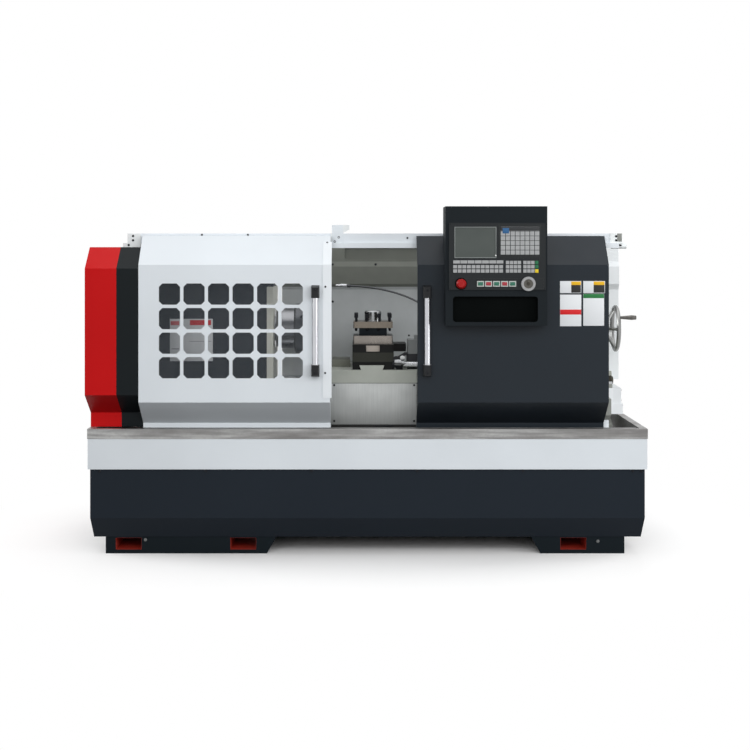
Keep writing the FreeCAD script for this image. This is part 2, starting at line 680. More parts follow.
# ---- base ----
def pedestal(outer_x, length, side, pockets, anchors):
    """Cast pedestal: a foot that slopes back at its inner end, and a hollow column up to the tray."""
    inner_x = outer_x + side * length
    foot = prism_y([
        (outer_x, 0), (inner_x - side * FOOT_CUTBACK, 0), (inner_x, FOOT_HEIGHT), (outer_x, FOOT_HEIGHT),
    ], FOOT_FRONT_Y, FOOT_REAR_Y)
    x0, x1 = sorted((outer_x + side * PEDESTAL_STEP, inner_x - side * (PEDESTAL_STEP + FOOT_CUTBACK)))
    y0, y1 = FOOT_FRONT_Y + PEDESTAL_STEP, FOOT_REAR_Y - PEDESTAL_STEP
    top = TRAY_FLOOR_Z - SHEET
    body = foot.fuse(block(x0, x1, y0, y1, 0, top))
    body = body.cut(block(x0 + CAST_WALL, x1 - CAST_WALL, y0 + CAST_WALL, y1 - CAST_WALL, 0, top - CAST_WALL))
    pads, holes = [], []
    for x in [outer_x + side * offset for offset in anchors]:
        for y in (y0 + ANCHOR_INSET_Y, y1 - ANCHOR_INSET_Y):
            pad_y0, pad_y1 = (y0, y + ANCHOR_PAD) if y < SPINDLE_Y else (y - ANCHOR_PAD, y1)
            pads.append(block(x - ANCHOR_PAD, x + ANCHOR_PAD, pad_y0, pad_y1, 0, ANCHOR_PAD_THICK))
            holes.append(rod(ANCHOR_RADIUS, V(x, y, 0), V(x, y, ANCHOR_PAD_THICK)))
    tunnels, mouths = [], []
    for x in [outer_x + side * offset for offset in pockets]:
        half, wall = POCKET_WIDTH / 2, POCKET_WALL
        ceiling = FOOT_HEIGHT - wall
        tunnels.append(block(x - half - wall, x + half + wall, y0, y1, 0, FOOT_HEIGHT))
        mouths.append(block(x - half, x + half, FOOT_FRONT_Y, FOOT_REAR_Y, POCKET_BOTTOM_Z, ceiling))
    return fuse([body] + pads + tunnels).cut(holes + mouths)


def left_pedestal():
    return pedestal(FOOT_LEFT_X, LEFT_FOOT_LENGTH, 1, LEFT_POCKETS, LEFT_ANCHORS)


def right_pedestal():
    return pedestal(FOOT_RIGHT_X, RIGHT_FOOT_LENGTH, -1, RIGHT_POCKETS, RIGHT_ANCHORS)


def skirt_solid(shrink):
    """The skirt's outline: an upright box over a tucked-in lower part, shrunk by a wall."""
    x, y0, y1 = TRAY_HALF - SKIRT_INSET - shrink, SKIRT_INSET + shrink, TRAY_DEPTH - SKIRT_INSET - shrink
    low = FOOT_HEIGHT + shrink
    upper = block(-x, x, y0, y1, SKIRT_BEND_Z, BAND_BOTTOM_Z)
    rims = []
    for z, tuck_x, tuck_y in ((SKIRT_BEND_Z, 0, 0), (low, SKIRT_TUCK_X, SKIRT_TUCK_Y)):
        rims.append(Part.makePolygon([
            V(-x + tuck_x, y0 + tuck_y, z), V(x - tuck_x, y0 + tuck_y, z),
            V(x - tuck_x, y1 - tuck_y, z), V(-x + tuck_x, y1 - tuck_y, z), V(-x + tuck_x, y0 + tuck_y, z),
        ]))
    return upper.fuse(Part.makeLoft(rims, True)).removeSplitter()


def base_skirt():
    skirt = skirt_solid(0).cut(skirt_solid(SHEET))
    openings = []
    for outer_x, inner_x in ((FOOT_LEFT_X, FOOT_LEFT_X + LEFT_FOOT_LENGTH),
                             (FOOT_RIGHT_X, FOOT_RIGHT_X - RIGHT_FOOT_LENGTH)):
        side = 1 if inner_x > outer_x else -1
        step = PEDESTAL_STEP - SHEET
        x0, x1 = sorted((outer_x + side * step, inner_x - side * (step + FOOT_CUTBACK)))
        openings.append(block(x0, x1, FOOT_FRONT_Y + step, FOOT_REAR_Y - step,
                              FOOT_HEIGHT, FOOT_HEIGHT + SHEET))
    return skirt.cut(openings)


def base_band():
    x, y0, y1 = TRAY_HALF - BAND_INSET, BAND_INSET, TRAY_DEPTH - BAND_INSET
    wall = ring(-x, x, y0, y1, BAND_BOTTOM_Z, RIM_TOP_Z - RIM_HEIGHT, SHEET)
    ledge = ring(-x, x, y0, y1, BAND_BOTTOM_Z, BAND_BOTTOM_Z + SHEET, RIM_WIDTH)
    return wall.fuse(ledge).removeSplitter()


def chip_tray():
    """Galvanised pan with a folded rim that caps the band, and the inner track for the doors."""
    x, inner = TRAY_HALF, RIM_WIDTH + SHEET
    pan = block(-x + RIM_WIDTH, x - RIM_WIDTH, RIM_WIDTH, TRAY_DEPTH - RIM_WIDTH,
                TRAY_FLOOR_Z - SHEET, RIM_TOP_Z)
    pan = pan.cut(block(-x + inner, x - inner, inner, TRAY_DEPTH - inner, TRAY_FLOOR_Z, RIM_TOP_Z))
    face = ring(-x, x, 0, TRAY_DEPTH, RIM_TOP_Z - RIM_HEIGHT, RIM_TOP_Z, SHEET)
    top = ring(-x, x, 0, TRAY_DEPTH, RIM_TOP_Z - SHEET, RIM_TOP_Z, inner)
    track_x0, track_x1 = LEFT_DOOR_X + SHEET, x - inner
    y0, y1, height = TRACK_Y, TRACK_Y + TRACK_WIDTH, DOOR_BOTTOM_Z - RUN_GAP
    track = block(track_x0, track_x1, y0, y1, TRAY_FLOOR_Z, height)
    track = track.cut(block(track_x0, track_x1, y0 + SHEET, y1 - SHEET, TRAY_FLOOR_Z, height - SHEET))
    return fuse([pan, face, top, track])


def vee(y, gap=0.0):
    """Section points of a vee way, or with a gap of the groove that runs over it."""
    half, rise = VEE_HALF_WIDTH + 2 * gap, VEE_HEIGHT + 2 * gap
    return [(y - half, BED_TOP_Z), (y, BED_TOP_Z + rise), (y + half, BED_TOP_Z)]


def lathe_bed():
    """Two ways on webs, tied by cross ribs, with a vee for the saddle and one for the tailstock."""
    parts = []
    foot_top = TRAY_FLOOR_Z + BED_FOOT_THICK
    for y0 in (BED_FRONT_Y, BED_REAR_Y - RAIL_WIDTH):
        y1 = y0 + RAIL_WIDTH
        w0, w1 = y0 + (RAIL_WIDTH - WEB_THICK) / 2, y0 + (RAIL_WIDTH + WEB_THICK) / 2
        parts.append(prism_x([
            (y0, TRAY_FLOOR_Z), (y1, TRAY_FLOOR_Z), (y1, foot_top), (w1, foot_top + WEB_THICK / 2),
            (w1, BED_TOP_Z - WAY_THICK - WEB_THICK / 2), (y1, BED_TOP_Z - WAY_THICK), (y1, BED_TOP_Z),
            (y0, BED_TOP_Z), (y0, BED_TOP_Z - WAY_THICK), (w0, BED_TOP_Z - WAY_THICK - WEB_THICK / 2),
            (w0, foot_top + WEB_THICK / 2), (y0, foot_top),
        ], BED_LEFT_X, BED_RIGHT_X))
    for offset in (OUTER_VEE_OFFSET, INNER_VEE_OFFSET):
        parts.append(prism_x(vee(BED_FRONT_Y + offset), BED_LEFT_X, BED_RIGHT_X))
    pitch = (BED_RIGHT_X - BED_LEFT_X - RIB_THICK) / (RIB_COUNT - 1)
    web_y = RAIL_WIDTH / 2
    for i in range(RIB_COUNT):
        x = BED_LEFT_X + i * pitch
        parts.append(block(x, x + RIB_THICK, BED_FRONT_Y + web_y, BED_REAR_Y - web_y,
                           TRAY_FLOOR_Z, BED_TOP_Z - WAY_THICK / 2))
    half = SCREW_BLOCK / 2
    for x in (SCREW_LEFT_X + SCREW_BLOCK_LENGTH / 2, SCREW_RIGHT_X - SCREW_BLOCK_LENGTH):
        bearing = block(x, x + SCREW_BLOCK_LENGTH, SCREW_Y - half, BED_FRONT_Y + web_y,
                        SCREW_Z - half, SCREW_Z + half)
        parts.append(bearing)
    bore = rod(SCREW_RADIUS + SHAFT_GAP, V(SCREW_LEFT_X, SCREW_Y, SCREW_Z),
               V(SCREW_RIGHT_X + 1, SCREW_Y, SCREW_Z))
    return fuse(parts).cut(bore)


def bed_end_cover():
    """Stepped white cap on the bed's tailstock end."""
    high = BED_TOP_Z - END_CAP_DROP
    step = high - END_CAP_UPPER_HEIGHT
    low = step - END_CAP_LOWER_HEIGHT
    shallow = END_CAP_DEPTH - END_CAP_STEP
    lower = block(BED_RIGHT_X, BED_RIGHT_X + END_CAP_DEPTH, BED_FRONT_Y, BED_REAR_Y, low, step)
    upper = block(BED_RIGHT_X, BED_RIGHT_X + shallow, BED_FRONT_Y + SHEET, BED_REAR_Y - SHEET, step, high)
    cavity = block(BED_RIGHT_X, BED_RIGHT_X + shallow - SHEET, BED_FRONT_Y + 2 * SHEET,
                   BED_REAR_Y - 2 * SHEET, low + SHEET, high - SHEET)
    return fuse([lower, upper]).cut(cavity)


# ---- guards ----
def door_outline():
    return [
        (DOOR_LIP_Y, DOOR_BOTTOM_Z), (DOOR_LIP_Y, DOOR_BOTTOM_Z + DOOR_LIP_HEIGHT),
        (DOOR_FRONT_Y, DOOR_LOWER_BEND_Z),
        (DOOR_FRONT_Y, DOOR_UPPER_BEND_Z), (DOOR_EDGE_Y, DOOR_TOP_Z),
        (HANGER_REAR_Y, DOOR_TOP_Z),
    ]


def door_sheet(x0, width):
    """Folded door with a return at each end and two hangers that ride on the beam's rail."""
    x1 = x0 + width
    outline = door_outline()
    parts = [prism_x(folded(outline, SHEET), x0, x1)]
    for x in (x0, x1 - SHEET):
        parts.append(prism_x(folded(outline[1:5], DOOR_RETURN), x, x + SHEET))
    hook_y = BEAM_FRONT_Y - RAIL_BAR_DEPTH
    for x in (x0 + HANGER_INSET, x1 - HANGER_INSET - HANGER_WIDTH):
        parts.append(block(x, x + HANGER_WIDTH, hook_y, HANGER_REAR_Y,
                           BEAM_BOTTOM_Z + RUN_GAP, DOOR_TOP_Z - SHEET))
    return fuse(parts)


def window_cutters():
    """Grid of windows with cut corners."""
    cutters = []
    for column in range(WINDOW_COLUMNS):
        for row in range(WINDOW_ROWS):
            x = LEFT_DOOR_X + WINDOW_LEFT + column * WINDOW_PITCH
            z = DOOR_UPPER_BEND_Z - WINDOW_TOP_DROP - WINDOW_SIZE - row * WINDOW_PITCH
            outline = clipped(x, x + WINDOW_SIZE, z, z + WINDOW_SIZE, WINDOW_CORNER)
            cutters.append(prism_y(outline, DOOR_FRONT_Y, DOOR_FRONT_Y + SHEET))
    return cutters


def left_door():
    return door_sheet(LEFT_DOOR_X, LEFT_DOOR_WIDTH).cut(window_cutters())


def window_pane():
    """Clear sheet held behind the windows."""
    x0 = LEFT_DOOR_X + WINDOW_LEFT - PANE_MARGIN
    x1 = x0 + (WINDOW_COLUMNS - 1) * WINDOW_PITCH + WINDOW_SIZE + 2 * PANE_MARGIN
    z1 = DOOR_UPPER_BEND_Z - WINDOW_TOP_DROP + PANE_MARGIN
    z0 = z1 - (WINDOW_ROWS - 1) * WINDOW_PITCH - WINDOW_SIZE - 2 * PANE_MARGIN
    y = DOOR_FRONT_Y + SHEET
    return block(x0, x1, y, y + PANE_THICK, z0, z1)


def door_edge_strip():
    """Folded strip over the closing edge of the left door."""
    x1 = LEFT_DOOR_X + LEFT_DOOR_WIDTH + STRIP_OVERHANG
    top_y = DOOR_FRONT_Y + STRIP_TOP_RUN * (DOOR_EDGE_Y - DOOR_FRONT_Y)
    top_z = DOOR_UPPER_BEND_Z + STRIP_TOP_RUN * (DOOR_TOP_Z - DOOR_UPPER_BEND_Z)
    line = [(DOOR_FRONT_Y, DOOR_LOWER_BEND_Z + STRIP_LIFT), (DOOR_FRONT_Y, DOOR_UPPER_BEND_Z), (top_y, top_z)]
    return prism_x(folded(line, -SHEET), x1 - STRIP_WIDTH, x1)


def right_door():
    return door_sheet(RIGHT_DOOR_X, RIGHT_DOOR_WIDTH)


def door_handle(x):
    """Round bar between two moulded end blocks."""
    z0 = DOOR_LOWER_BEND_Z + HANDLE_LIFT
    z1 = z0 + HANDLE_HEIGHT
    y = DOOR_FRONT_Y - HANDLE_STAND_OFF
    bar = rod(HANDLE_RADIUS, V(x, y, z0 + HANDLE_END_HEIGHT), V(x, y, z1 - HANDLE_END_HEIGHT))
    half, front = HANDLE_END_WIDTH / 2, DOOR_FRONT_Y - HANDLE_END_DEPTH
    lower_end = [(DOOR_FRONT_Y, z0), (front, z0 + HANDLE_END_TAPER),
                 (front, z0 + HANDLE_END_HEIGHT), (DOOR_FRONT_Y, z0 + HANDLE_END_HEIGHT)]
    upper_end = [(y, z0 + z1 - z) for y, z in lower_end]
    corners = []
    for side in (-1, 1):
        outer = x + side * half
        inner = outer - side * HANDLE_CORNER
        outline = [(outer, front), (inner, front), (outer, front + HANDLE_CORNER_DEPTH)]
        corners.append(prism_z(outline, z0, z1))
    ends = [prism_x(outline, x - half, x + half).cut(corners) for outline in (lower_end, upper_end)]
    return Part.makeCompound([bar] + ends)


def left_handle():
    return door_handle(LEFT_DOOR_X + LEFT_DOOR_WIDTH - LEFT_HANDLE_INSET)


def right_handle():
    return door_handle(RIGHT_DOOR_X + RIGHT_HANDLE_INSET)


def cover_outline():
    """Outer outline of the end covers, round the whole machine section."""
    return [
        (DOOR_LIP_Y, RIM_TOP_Z + RUN_GAP), (DOOR_LIP_Y, RIM_TOP_Z + COVER_LIP_HEIGHT),
        (DOOR_FRONT_Y, COVER_LOWER_BEND_Z),
        (DOOR_FRONT_Y, COVER_UPPER_BEND_Z), (DOOR_EDGE_Y, COVER_TOP_Z), (COVER_REAR_Y, COVER_TOP_Z),
        (COVER_REAR_Y, RIM_TOP_Z + RUN_GAP),
    ]


def cover_shell(x0, x1, wall_x):
    """Folded hood, open below, with one end wall."""
    outline = cover_outline()
    hood = prism_x(folded(outline, SHEET), x0, x1)
    wall = prism_x(outline, wall_x, wall_x + SHEET)
    return fuse([hood, wall])


def red_end_cover():
    x0 = -TRAY_HALF
    return cover_shell(x0, x0 + RED_COVER_WIDTH, x0)


def black_end_cover():
    x0 = -TRAY_HALF + RED_COVER_WIDTH
    x1 = x0 + BLACK_COVER_WIDTH
    shell = cover_shell(x0, x1, x1 - SHEET)
    holes = [
        rod(SPINDLE_RADIUS + COVER_HOLE_GAP, V(x0, SPINDLE_Y, SPINDLE_Z), V(x1, SPINDLE_Y, SPINDLE_Z)),
        rod(MOTOR_SHAFT_RADIUS + COVER_HOLE_GAP, V(x0, MOTOR_Y, MOTOR_Z), V(x1, MOTOR_Y, MOTOR_Z)),
    ]
    return shell.cut(holes)


def door_beam():
    """Box beam with the bar that the door hangers ride on."""
    x0, x1, y0, y1 = BEAM_LEFT_X, BEAM_RIGHT_X, BEAM_FRONT_Y, BEAM_FRONT_Y + BEAM_DEPTH
    beam = block(x0, x1, y0, y1, BEAM_BOTTOM_Z, BEAM_TOP_Z)
    beam = beam.cut(block(x0, x1, y0 + SHEET, y1 - SHEET, BEAM_BOTTOM_Z + SHEET, BEAM_TOP_Z - SHEET))
    rail = block(LEFT_DOOR_X, x1, y0 - RAIL_BAR_DEPTH, y0 + SHEET,
                 BEAM_BOTTOM_Z - RAIL_BAR_HEIGHT, BEAM_BOTTOM_Z)
    return fuse([beam, rail])


def beam_brackets():
    """End plates, the foot on the end cover, the arm back to the rear guard and the middle clip."""
    y0, y1 = BEAM_FRONT_Y, BEAM_FRONT_Y + BEAM_DEPTH
    t = BRACKET_THICK
    left_x = BEAM_LEFT_X + LEFT_PLATE_WIDTH
    left_plate = block(BEAM_LEFT_X, left_x, y0 - t, y0, COVER_TOP_Z, BEAM_TOP_Z)
    left_foot = block(BEAM_LEFT_X - LEFT_FOOT_REACH, left_x, y0 - t, y1, COVER_TOP_Z, BEAM_BOTTOM_Z)
    right_x = BEAM_RIGHT_X + RIGHT_PLATE_REACH
    right_plate = block(right_x - RIGHT_PLATE_WIDTH, right_x, y0 - t, y0, BEAM_BOTTOM_Z, BEAM_TOP_Z)
    stub_end = V(BEAM_RIGHT_X + STUB_REACH, (y0 + y1) / 2 + 1, BEAM_BOTTOM_Z - STUB_RADIUS)
    stub = rod(STUB_RADIUS, stub_end - V(STUB_LENGTH, 0, 0), stub_end)
    arm_x = BEAM_RIGHT_X - ARM_WIDTH
    arm = block(arm_x, BEAM_RIGHT_X, y1, GUARD_Y, BEAM_BOTTOM_Z, BEAM_TOP_Z)
    arm = arm.cut(block(arm_x + SHEET, BEAM_RIGHT_X - SHEET, y1, GUARD_Y,
                        BEAM_BOTTOM_Z + SHEET, BEAM_TOP_Z - SHEET))
    clip_x = LEFT_DOOR_X + LEFT_DOOR_WIDTH + 1
    clip_end, hook_end = clip_x + CLIP_WIDTH, clip_x + CLIP_WIDTH + CLIP_HOOK_WIDTH
    clip = block(clip_x, clip_end, y0 - t, y0, BEAM_BOTTOM_Z, BEAM_TOP_Z)
    hook_top = BEAM_TOP_Z + CLIP_HOOK_HEIGHT
    hook = prism_y([(clip_end - CLIP_HOOK_HEIGHT, BEAM_TOP_Z), (clip_end, BEAM_TOP_Z),
                    (hook_end, (BEAM_TOP_Z + hook_top) / 2), (hook_end, hook_top), (clip_end, hook_top)],
                   y0 - t, y0 + CLIP_HOOK_THICK)
    return Part.makeCompound([fuse([left_plate, left_foot]), right_plate, stub, arm, fuse([clip, hook])])


def rear_guard():
    """Folded splash wall behind the ways, with a long recess and a notch over the tray's end."""
    f = GUARD_FOLDS_Z
    line = [
        (GUARD_Y, TRAY_FLOOR_Z), (GUARD_Y, f[0]), (GUARD_Y - GUARD_STEP, f[1]), (GUARD_Y - GUARD_STEP, f[2]),
        (GUARD_Y, f[3]), (GUARD_Y, BEAM_TOP_Z), (GUARD_Y + 2 * GUARD_STEP, BEAM_TOP_Z),
    ]
    wall = prism_x(folded(line, SHEET), GUARD_LEFT_X, GUARD_RIGHT_X)
    x0, x1 = RECESS_LEFT_X, RECESS_LEFT_X + RECESS_LENGTH
    z0 = f[-1] + RECESS_LIFT
    z1 = z0 + RECESS_HEIGHT
    pocket = rounded_block(x0 - SHEET, x1 + SHEET, GUARD_Y, GUARD_Y + RECESS_DEPTH, z0 - SHEET, z1 + SHEET,
                           RECESS_CORNER + SHEET, ALONG_Y)
    hollow = rounded_block(x0, x1, GUARD_Y, GUARD_Y + RECESS_DEPTH - SHEET, z0, z1, RECESS_CORNER, ALONG_Y)
    column = block(GUARD_RIGHT_X - GUARD_COLUMN_WIDTH, GUARD_RIGHT_X, GUARD_Y, GUARD_Y + 2 * GUARD_STEP,
                   GUARD_NOTCH_Z, BEAM_TOP_Z)
    notch = block(GUARD_RIGHT_X - GUARD_NOTCH_WIDTH, GUARD_RIGHT_X, GUARD_Y - GUARD_STEP,
                  GUARD_Y + 2 * GUARD_STEP, TRAY_FLOOR_Z, GUARD_NOTCH_Z)
    return fuse([wall, pocket, column]).cut([hollow, notch])


# ---- headstock and drive ----
def headstock_casing():
    """Hollow casting open on top, bored for the spindle bearings, with the motor shelf behind."""
    x0, x1, y0, y1 = HEAD_LEFT_X, HEAD_RIGHT_X, BED_FRONT_Y, BED_REAR_Y
    body = block(x0, x1, y0, y1, BED_TOP_Z, HEAD_TOP_Z)
    cavity = block(x0 + HEAD_WALL, x1 - HEAD_WALL, y0 + HEAD_SIDE_WALL, y1 - HEAD_SIDE_WALL,
                   BED_TOP_Z + HEAD_WALL, HEAD_TOP_Z)
    grooves = [prism_x(vee(BED_FRONT_Y + offset), x0, x1) for offset in (OUTER_VEE_OFFSET, INNER_VEE_OFFSET)]
    bore = rod(BEARING_RADIUS, V(x0, SPINDLE_Y, SPINDLE_Z), V(x1, SPINDLE_Y, SPINDLE_Z))
    shelf_z = MOTOR_BASE_Z
    sx0 = MOTOR_LEFT_X + SHELF_INSET
    sx1 = sx0 + SHELF_LENGTH
    shelf = block(sx0, sx1, y1, MOTOR_Y + MOTOR_RADIUS, shelf_z - SHELF_THICK, shelf_z)
    gussets = []
    under_z = shelf_z - SHELF_THICK
    web = [(y1, under_z), (MOTOR_Y + MOTOR_RADIUS / 2, under_z), (y1, BED_TOP_Z - WAY_THICK / 2)]
    for x in (sx0, sx1 - SHELF_THICK):
        gussets.append(prism_x(web, x, x + SHELF_THICK))
    return fuse([body.cut([cavity, bore] + grooves), shelf] + gussets)


def headstock_cover():
    x0, x1, y0, y1 = HEAD_LEFT_X, HEAD_RIGHT_X, BED_FRONT_Y, BED_REAR_Y
    lid = block(x0, x1, y0, y1, HEAD_TOP_Z, HEAD_TOP_Z + HEAD_COVER_THICK)
    lip = ring(x0 + HEAD_WALL + 1, x1 - HEAD_WALL - 1, y0 + HEAD_SIDE_WALL + 1, y1 - HEAD_SIDE_WALL - 1,
               HEAD_TOP_Z - HEAD_LIP_HEIGHT, HEAD_TOP_Z, HEAD_LIP_WIDTH)
    foot = V((x0 + x1) / 2, SPINDLE_Y, HEAD_TOP_Z)
    boss = rod(HEAD_BOSS_RADIUS, foot, foot + V(0, 0, HEAD_BOSS_HEIGHT))
    return fuse([lid, lip, boss])


def spindle_bearings():
    """Bearing at each end wall of the headstock."""
    rings = []
    for x in (HEAD_LEFT_X, HEAD_RIGHT_X - BEARING_WIDTH):
        a, b = V(x, SPINDLE_Y, SPINDLE_Z), V(x + BEARING_WIDTH, SPINDLE_Y, SPINDLE_Z)
        rings.append(rod(BEARING_RADIUS - SHAFT_GAP, a, b).cut(rod(SPINDLE_RADIUS + SHAFT_GAP, a, b)))
    return Part.makeCompound(rings)


def pulley_outline(radius, bore):
    x0, x1, t = PULLEY_LEFT_X, PULLEY_LEFT_X + PULLEY_WIDTH, FLANGE_THICK
    rim = radius + FLANGE_RISE
    return [(x0, bore), (x0, rim), (x0 + t, rim), (x0 + t, radius), (x1 - t, radius), (x1 - t, rim),
            (x1, rim), (x1, bore)]


def spindle():
    """Hollow spindle with its drive pulley and the nose flange that the chuck bolts to."""
    nose_x = HEAD_RIGHT_X + NOSE_GAP
    outline = [
        (SPINDLE_LEFT_X, SPINDLE_BORE), (SPINDLE_LEFT_X, SPINDLE_RADIUS), (nose_x, SPINDLE_RADIUS),
        (nose_x, NOSE_RADIUS - NOSE_TAPER_RISE), (nose_x + NOSE_TAPER, NOSE_RADIUS),
        (CHUCK_LEFT_X, NOSE_RADIUS), (CHUCK_LEFT_X, SPINDLE_BORE),
    ]
    shaft = turned(outline, SPINDLE_Y, SPINDLE_Z)
    wheel = turned(pulley_outline(SPINDLE_PULLEY_RADIUS, SPINDLE_RADIUS), SPINDLE_Y, SPINDLE_Z)
    return fuse([shaft, wheel])


def round_spindle(shape, angle):
    return shape.rotated(V(0, SPINDLE_Y, SPINDLE_Z), ALONG_X, angle)


def chuck_body():
    """Scroll chuck: stepped body with a radial slot for each jaw and key sockets between them."""
    rim = CHUCK_RADIUS
    outline = [
        (CHUCK_LEFT_X, CHUCK_BORE), (CHUCK_LEFT_X, rim - CHUCK_BACK_CHAMFER),
        (CHUCK_LEFT_X + CHUCK_BACK_CHAMFER, rim), (CHUCK_FACE_X - CHUCK_FACE_CHAMFER, rim),
        (CHUCK_FACE_X, rim - CHUCK_FACE_CHAMFER), (CHUCK_FACE_X, CHUCK_BORE),
    ]
    body = turned(outline, SPINDLE_Y, SPINDLE_Z)
    half = JAW_WIDTH / 2 + RUN_GAP
    slot = block(CHUCK_FACE_X - JAW_SLOT_DEPTH - RUN_GAP, CHUCK_FACE_X, SPINDLE_Y - half, SPINDLE_Y + half,
                 SPINDLE_Z, SPINDLE_Z + rim)
    mouth = V(CHUCK_LEFT_X + CHUCK_LENGTH / 3, SPINDLE_Y, SPINDLE_Z + rim)
    socket = rod(KEY_SOCKET_RADIUS, mouth - V(0, 0, KEY_SOCKET_DEPTH), mouth)
    pitch = 360 / JAW_COUNT
    cuts = [round_spindle(slot, pitch * i) for i in range(JAW_COUNT)]
    cuts += [round_spindle(socket, pitch * (i + 0.5)) for i in range(JAW_COUNT)]
    return body.cut(cuts)


def chuck_jaw(index):
    """Stepped jaw that slides in a radial slot of the chuck."""
    half = JAW_WIDTH / 2
    z0 = SPINDLE_Z + JAW_INNER
    step_x, step_z = JAW_REACH / JAW_STEPS, JAW_LENGTH / (JAW_STEPS + 1)
    face = CHUCK_FACE_X + RUN_GAP
    outline = [(CHUCK_FACE_X - JAW_SLOT_DEPTH, z0), (face + JAW_REACH, z0)]
    for i in range(1, JAW_STEPS + 1):
        outline.append((face + JAW_REACH - (i - 1) * step_x, z0 + i * step_z))
        outline.append((face + JAW_REACH - i * step_x, z0 + i * step_z))
    outline += [(face, z0 + JAW_LENGTH), (CHUCK_FACE_X - JAW_SLOT_DEPTH, z0 + JAW_LENGTH)]
    jaw = prism_y(outline, SPINDLE_Y - half, SPINDLE_Y + half)
    return round_spindle(jaw, 360 / JAW_COUNT * index)


def loop_wire(radius_a, radius_b, x):
    """Closed belt line round the spindle pulley and the motor pulley."""
    a, b = V(x, SPINDLE_Y, SPINDLE_Z), V(x, MOTOR_Y, MOTOR_Z)
    run = b - a
    along, across = V(run).normalize(), ALONG_X.cross(V(run)).normalize()
    lean = math.asin((radius_a - radius_b) / run.Length)
    up = along * math.sin(lean) + across * math.cos(lean)
    down = along * math.sin(lean) - across * math.cos(lean)
    return Part.Wire([
        Part.LineSegment(a + up * radius_a, b + up * radius_b).toShape(),
        Part.Arc(b + up * radius_b, b + along * radius_b, b + down * radius_b).toShape(),
        Part.LineSegment(b + down * radius_b, a + down * radius_a).toShape(),
        Part.Arc(a + down * radius_a, a - along * radius_a, a + up * radius_a).toShape(),
    ])


def drive_belts():
    x0 = PULLEY_LEFT_X + FLANGE_THICK + BELT_SIDE_GAP
    width = PULLEY_WIDTH - 2 * (FLANGE_THICK + BELT_SIDE_GAP)
    inner_a, inner_b = SPINDLE_PULLEY_RADIUS + RUN_GAP, MOTOR_PULLEY_RADIUS + RUN_GAP
    outer = Part.Face(loop_wire(inner_a + BELT_THICK, inner_b + BELT_THICK, x0)).extrude(V(width, 0, 0))
    inner = Part.Face(loop_wire(inner_a, inner_b, x0)).extrude(V(width, 0, 0))
    return outer.cut(inner)


def motor_pulley():
    hub = turned(pulley_outline(MOTOR_PULLEY_RADIUS, 0), MOTOR_Y, MOTOR_Z)
    shaft = rod(MOTOR_SHAFT_RADIUS, V(PULLEY_LEFT_X, MOTOR_Y, MOTOR_Z),
                V(MOTOR_LEFT_X + MOTOR_SHAFT_DEPTH, MOTOR_Y, MOTOR_Z))
    return fuse([hub, shaft])


def main_motor():
    """Finned motor on feet, with its terminal box and fan cowl."""
    x0, x1 = MOTOR_LEFT_X, MOTOR_LEFT_X + MOTOR_LENGTH
    a, b = V(x0, MOTOR_Y, MOTOR_Z), V(x1, MOTOR_Y, MOTOR_Z)
    parts = [rod(MOTOR_RADIUS, a, b)]
    fin_half = MOTOR_FIN_THICK / 2
    fin = block(x0 + MOTOR_FLANGE, x1 - MOTOR_COWL, MOTOR_Y - fin_half, MOTOR_Y + fin_half,
                MOTOR_Z, MOTOR_Z + MOTOR_RADIUS + MOTOR_FIN_RISE)
    for i in range(MOTOR_FINS):
        parts.append(fin.rotated(a, ALONG_X, 360 / MOTOR_FINS * i))
    parts.append(rod(MOTOR_RADIUS + MOTOR_FIN_RISE, b - V(MOTOR_COWL, 0, 0), b))
    for y in (MOTOR_Y - MOTOR_FOOT_OFFSET - MOTOR_FOOT_WIDTH, MOTOR_Y + MOTOR_FOOT_OFFSET):
        parts.append(block(x0 + MOTOR_FOOT_INSET, x1 - MOTOR_FOOT_INSET - MOTOR_COWL / 2,
                           y, y + MOTOR_FOOT_WIDTH, MOTOR_BASE_Z, MOTOR_Z - MOTOR_RADIUS / 2))
    box_x = x0 + MOTOR_FLANGE + MOTOR_FOOT_WIDTH
    box_half = TERMINAL_WIDTH / 2
    parts.append(block(box_x, box_x + TERMINAL_LENGTH, MOTOR_Y - box_half, MOTOR_Y + box_half,
                       MOTOR_Z, MOTOR_Z + MOTOR_RADIUS + TERMINAL_RISE))
    well = rod(MOTOR_SHAFT_RADIUS + SHAFT_GAP, a, a + V(MOTOR_SHAFT_DEPTH + RUN_GAP, 0, 0))
    return fuse(parts).cut(well)


def z_servo_motor():
    """Feed motor on the bed's front, behind the left end of the long screw."""
    half = Z_MOTOR_SIZE / 2
    x1 = SCREW_LEFT_X - RUN_GAP
    x0 = x1 - Z_MOTOR_LENGTH
    y1 = BED_FRONT_Y
    body = block(x0, x1, y1 - Z_MOTOR_SIZE, y1, SCREW_Z - half, SCREW_Z + half)
    step = Z_MOTOR_CAP_STEP
    cap = block(x0 - Z_MOTOR_CAP_LENGTH, x0, y1 - Z_MOTOR_SIZE + step, y1 - step,
                SCREW_Z - half + step, SCREW_Z + half - step)
    return fuse([body, cap])


def z_ballscrew():
    return rod(SCREW_RADIUS, V(SCREW_LEFT_X, SCREW_Y, SCREW_Z), V(SCREW_RIGHT_X, SCREW_Y, SCREW_Z))


# ---- carriage ----
def dovetail(x, top_half, foot_half, z0, z1, y0, y1):
    return prism_y([(x - foot_half, z0), (x + foot_half, z0), (x + top_half, z1), (x - top_half, z1)], y0, y1)


